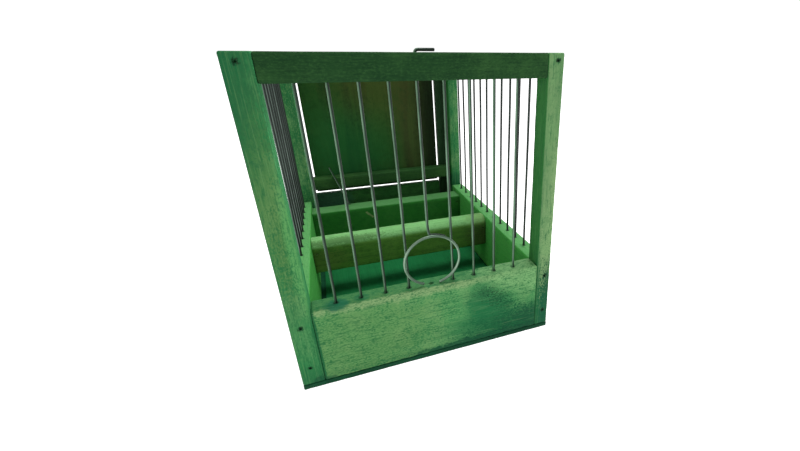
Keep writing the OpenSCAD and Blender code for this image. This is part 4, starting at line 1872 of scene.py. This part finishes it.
@dataclass
class FloorTray:
    """The sliding sheet and its end board.

    Attributes:
        tongue: Width of the sheet's edge that sits in the end board's groove, in metres.
        groove_slack: Slack round that edge, in metres.
        sheet_edge: Rounding of the sheet's edges, in metres.
        sheet_wander: Unevenness of the sheet, in metres.
        sheet_chips: Depth of the chips in the sheet's edges, in metres.
        sheet_step: Distance between the sheet's mesh rings, in metres.
        overlap: How far the tongue runs into the sheet, in metres.
        edge: Rounding of the end board's edges, in metres.
        chips: Depth of the chips in the end board's edges, in metres.
    """

    tongue: float = 2.95 * MM
    groove_slack: float = 0.05 * MM
    sheet_edge: float = 0.35 * MM
    sheet_wander: float = 0.06 * MM
    sheet_chips: float = 0.1 * MM
    sheet_step: float = 5 * MM
    overlap: float = 0.5 * MM
    edge: float = 0.45 * MM
    chips: float = 0.3 * MM

    def sheet(self) -> None:
        """Builds the sheet and the tongue that sits in the end board."""
        low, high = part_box("tray_sheet")
        board_low, board_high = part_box("tray_end_board")
        face = board_low.y
        finish = StainedWood("teal tray", Grain.ALONG_Y, body=stain(22, 94, 51), pale=stain(28, 105, 57),
                             deep=stain(16, 79, 40), specks=0.1, fibres=0.12, dashes=0.08, roughness=0.5)
        tongue_low = Vector((board_low.x, face - self.overlap, low.z))
        tongue_high = Vector((board_high.x, high.y, high.z))
        SawnLength("tray_sheet", "tray", "teal_board", finish, self.sheet_edge, self.sheet_wander,
                   self.sheet_chips, self.sheet_step, corners=(low, Vector((high.x, face, high.z))),
                   part="sheet").make()
        SawnLength("tray_sheet", "tray", "teal_board", finish, self.sheet_edge, self.sheet_wander,
                   self.sheet_chips, corners=(tongue_low, tongue_high), part="tongue").make()

    def end_board(self) -> None:
        """Builds the end board with its groove."""
        low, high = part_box("tray_sheet")
        board_low, board_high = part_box("tray_end_board")
        groove = (low.z - self.groove_slack - board_low.z, high.z + self.groove_slack - board_low.z,
                  self.tongue + self.groove_slack)
        patch = Pool.near((board_low.x, board_low.y, board_high.z), (12, 0, -8), (18, 6, 14),
                          stain(56, 98, 78), 0.7, 0.8, 0.3)
        GroovedBoard("tray_end_board", "tray", "green_wood",
                     StainedWood("dark end board", Grain.ALONG_X, body=stain(44, 104, 48),
                                 pale=stain(62, 120, 56), deep=NIGHT_GREEN, patchy=0.6, pools=(patch,)),
                     edge=self.edge, chips=self.chips, groove=groove).make()

    def make(self) -> None:
        """Builds sheet, tongue and end board."""
        self.sheet()
        self.end_board()


@dataclass(frozen=True)
class Lamp:
    """A soft square lamp that looks at the cage.

    Attributes:
        name: Its name.
        place: Its place, in metres.
        power: Its power, in watts.
        size: Its width, in metres.
    """

    name: str
    place: tuple[float, float, float]
    power: float
    size: float

    LOOKS_AT = (0.0, 0.0, 0.05)

    def hang(self) -> None:
        """Hangs the lamp."""
        light = bpy.data.lights.new(self.name, "AREA")
        light.energy = self.power
        light.size = self.size
        way = Vector(self.LOOKS_AT) - Vector(self.place)
        hung = place_object(self.name, light)
        hung.location = self.place
        hung.rotation_euler = way.to_track_quat("-Z", "Y").to_euler()


@dataclass
class Studio:
    """Pale floor, soft light and white surroundings that are darker in front and on the left.

    Attributes:
        floor_size: Width of the floor, in metres.
        floor_glow: Strength of the floor's own light, which keeps it white.
        sky: Strength of the surroundings behind and on the right.
        sky_dark: Strength in front and on the left.
        bright_way: Level direction of the bright surroundings.
        dusk: How far along that direction the surroundings start and end to brighten.
        key: Lamp at the front right.
        overhead: Lamp above the open roof.
    """

    floor_size: float = 60.0
    floor_glow: float = 0.95
    sky: float = 1.05
    sky_dark: float = 0.65
    bright_way: tuple[float, float, float] = (0.6, 0.8, 0.0)
    dusk: tuple[float, float] = (-0.6, 0.3)
    key: Lamp = Lamp("key", (0.5, -0.55, 0.55), 0.5, 0.5)
    overhead: Lamp = Lamp("overhead", (0.1, 0.02, 0.8), 6.0, 0.35)

    WHITE = (1.0, 1.0, 1.0, 1.0)
    FLOOR_GREY = stain(200, 200, 200)
    FLOOR_ROUGHNESS = 0.9

    def floor(self) -> None:
        """Builds the pale floor."""
        half = self.floor_size / 2
        corners = [(-half, -half, 0), (half, -half, 0), (half, half, 0), (-half, half, 0)]
        floor = place_object("floor", new_mesh("floor", corners, [(0, 1, 2, 3)]))
        graph = Graph("pale studio floor")
        graph.coat(self.FLOOR_GREY, self.FLOOR_ROUGHNESS)
        graph.shader.inputs["Emission Color"].default_value = self.WHITE
        graph.shader.inputs["Emission Strength"].default_value = self.floor_glow
        dress(floor, graph.material)

    def surroundings(self) -> None:
        """Builds the surroundings, bright one way and darker the other."""
        world = bpy.data.worlds.new("studio")
        world.use_nodes = True
        nodes, links = world.node_tree.nodes, world.node_tree.links
        view = nodes.new("ShaderNodeTexCoord")
        along = nodes.new("ShaderNodeVectorMath")
        along.operation = "DOT_PRODUCT"
        along.inputs[1].default_value = self.bright_way
        links.new(view.outputs["Generated"], along.inputs[0])
        spread = nodes.new("ShaderNodeMapRange")
        spread.interpolation_type = "SMOOTHSTEP"
        for name, value in (("From Min", self.dusk[0]), ("From Max", self.dusk[1]),
                            ("To Min", self.sky_dark), ("To Max", self.sky)):
            spread.inputs[name].default_value = value
        links.new(along.outputs["Value"], spread.inputs["Value"])
        links.new(spread.outputs["Result"], nodes["Background"].inputs["Strength"])
        nodes["Background"].inputs["Color"].default_value = self.WHITE
        bpy.context.scene.world = world

    def make(self) -> None:
        """Builds floor, surroundings and lamps."""
        self.floor()
        self.surroundings()
        self.key.hang()
        self.overhead.hang()
        bpy.context.scene.view_settings.view_transform = "Standard"
        LOG.info("studio: floor, surroundings and two soft lamps")


@dataclass(frozen=True)
class PhotoCamera:
    """The viewpoint, worked out from the straight edges of posts, rails and bars.

    Attributes:
        place: Camera's place, in metres.
        pan: Turn to the right of straight ahead, in degrees.
        tilt: Tilt below level, in degrees.
        roll: Roll about the view, in degrees.
        focal: Focal length in pixels of the picture.
        centre: Pixel of the picture that the view's axis meets.
        picture: Width and height of the picture in pixels.
    """

    place: tuple[float, float, float] = (-42.07 * MM, -286.94 * MM, 169.11 * MM)
    pan: float = 22.712
    tilt: float = 24.525
    roll: float = 0.242
    focal: float = 394.09
    centre: tuple[float, float] = (494.44, 234.2)
    picture: tuple[int, int] = (800, 451)

    SENSOR = 36.0
    NEAREST = 0.01

    def make(self) -> None:
        """Builds the camera and makes it the scene's."""
        width, height = self.picture
        lens = bpy.data.cameras.new("photo camera")
        lens.sensor_width = self.SENSOR
        lens.lens = self.SENSOR * self.focal / width
        lens.shift_x = (width / 2 - self.centre[0]) / width
        lens.shift_y = (self.centre[1] - height / 2) / width
        lens.clip_start = self.NEAREST
        camera = place_object("photo camera", lens)
        turn = (Matrix.Rotation(math.radians(-self.pan), 4, "Z")
                @ Matrix.Rotation(math.radians(90 - self.tilt), 4, "X")
                @ Matrix.Rotation(math.radians(self.roll), 4, "Z"))
        camera.matrix_world = Matrix.Translation(self.place) @ turn
        bpy.context.scene.camera = camera
        LOG.info("camera: lens %.2f mm", lens.lens)


def main() -> None:
    """Builds the camera, the studio and every piece of the cage."""
    logging.basicConfig(level=logging.INFO, format="%(name)s: %(message)s")
    noise.seed_set(SWAY_SEED)
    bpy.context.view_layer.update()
    wire = DrawnWire("plain iron wire").build()
    nail_steel = PlainMetal("dark nail steel", stain(60, 62, 58), stain(24, 26, 22), 0.5).build()
    brass = PlainMetal("dull brass", stain(158, 130, 76), stain(112, 92, 54), 0.42).build()
    PhotoCamera().make()
    Studio().make()
    CageFrame().make()
    CrossBars().make()
    Bars().make(wire)
    DrinkerClip().make(wire)
    RearDoor().make(brass)
    TurnButton().make(brass)
    FloorTray().make()
    Nails().make(nail_steel)


if __name__ == "__main__":
    main()
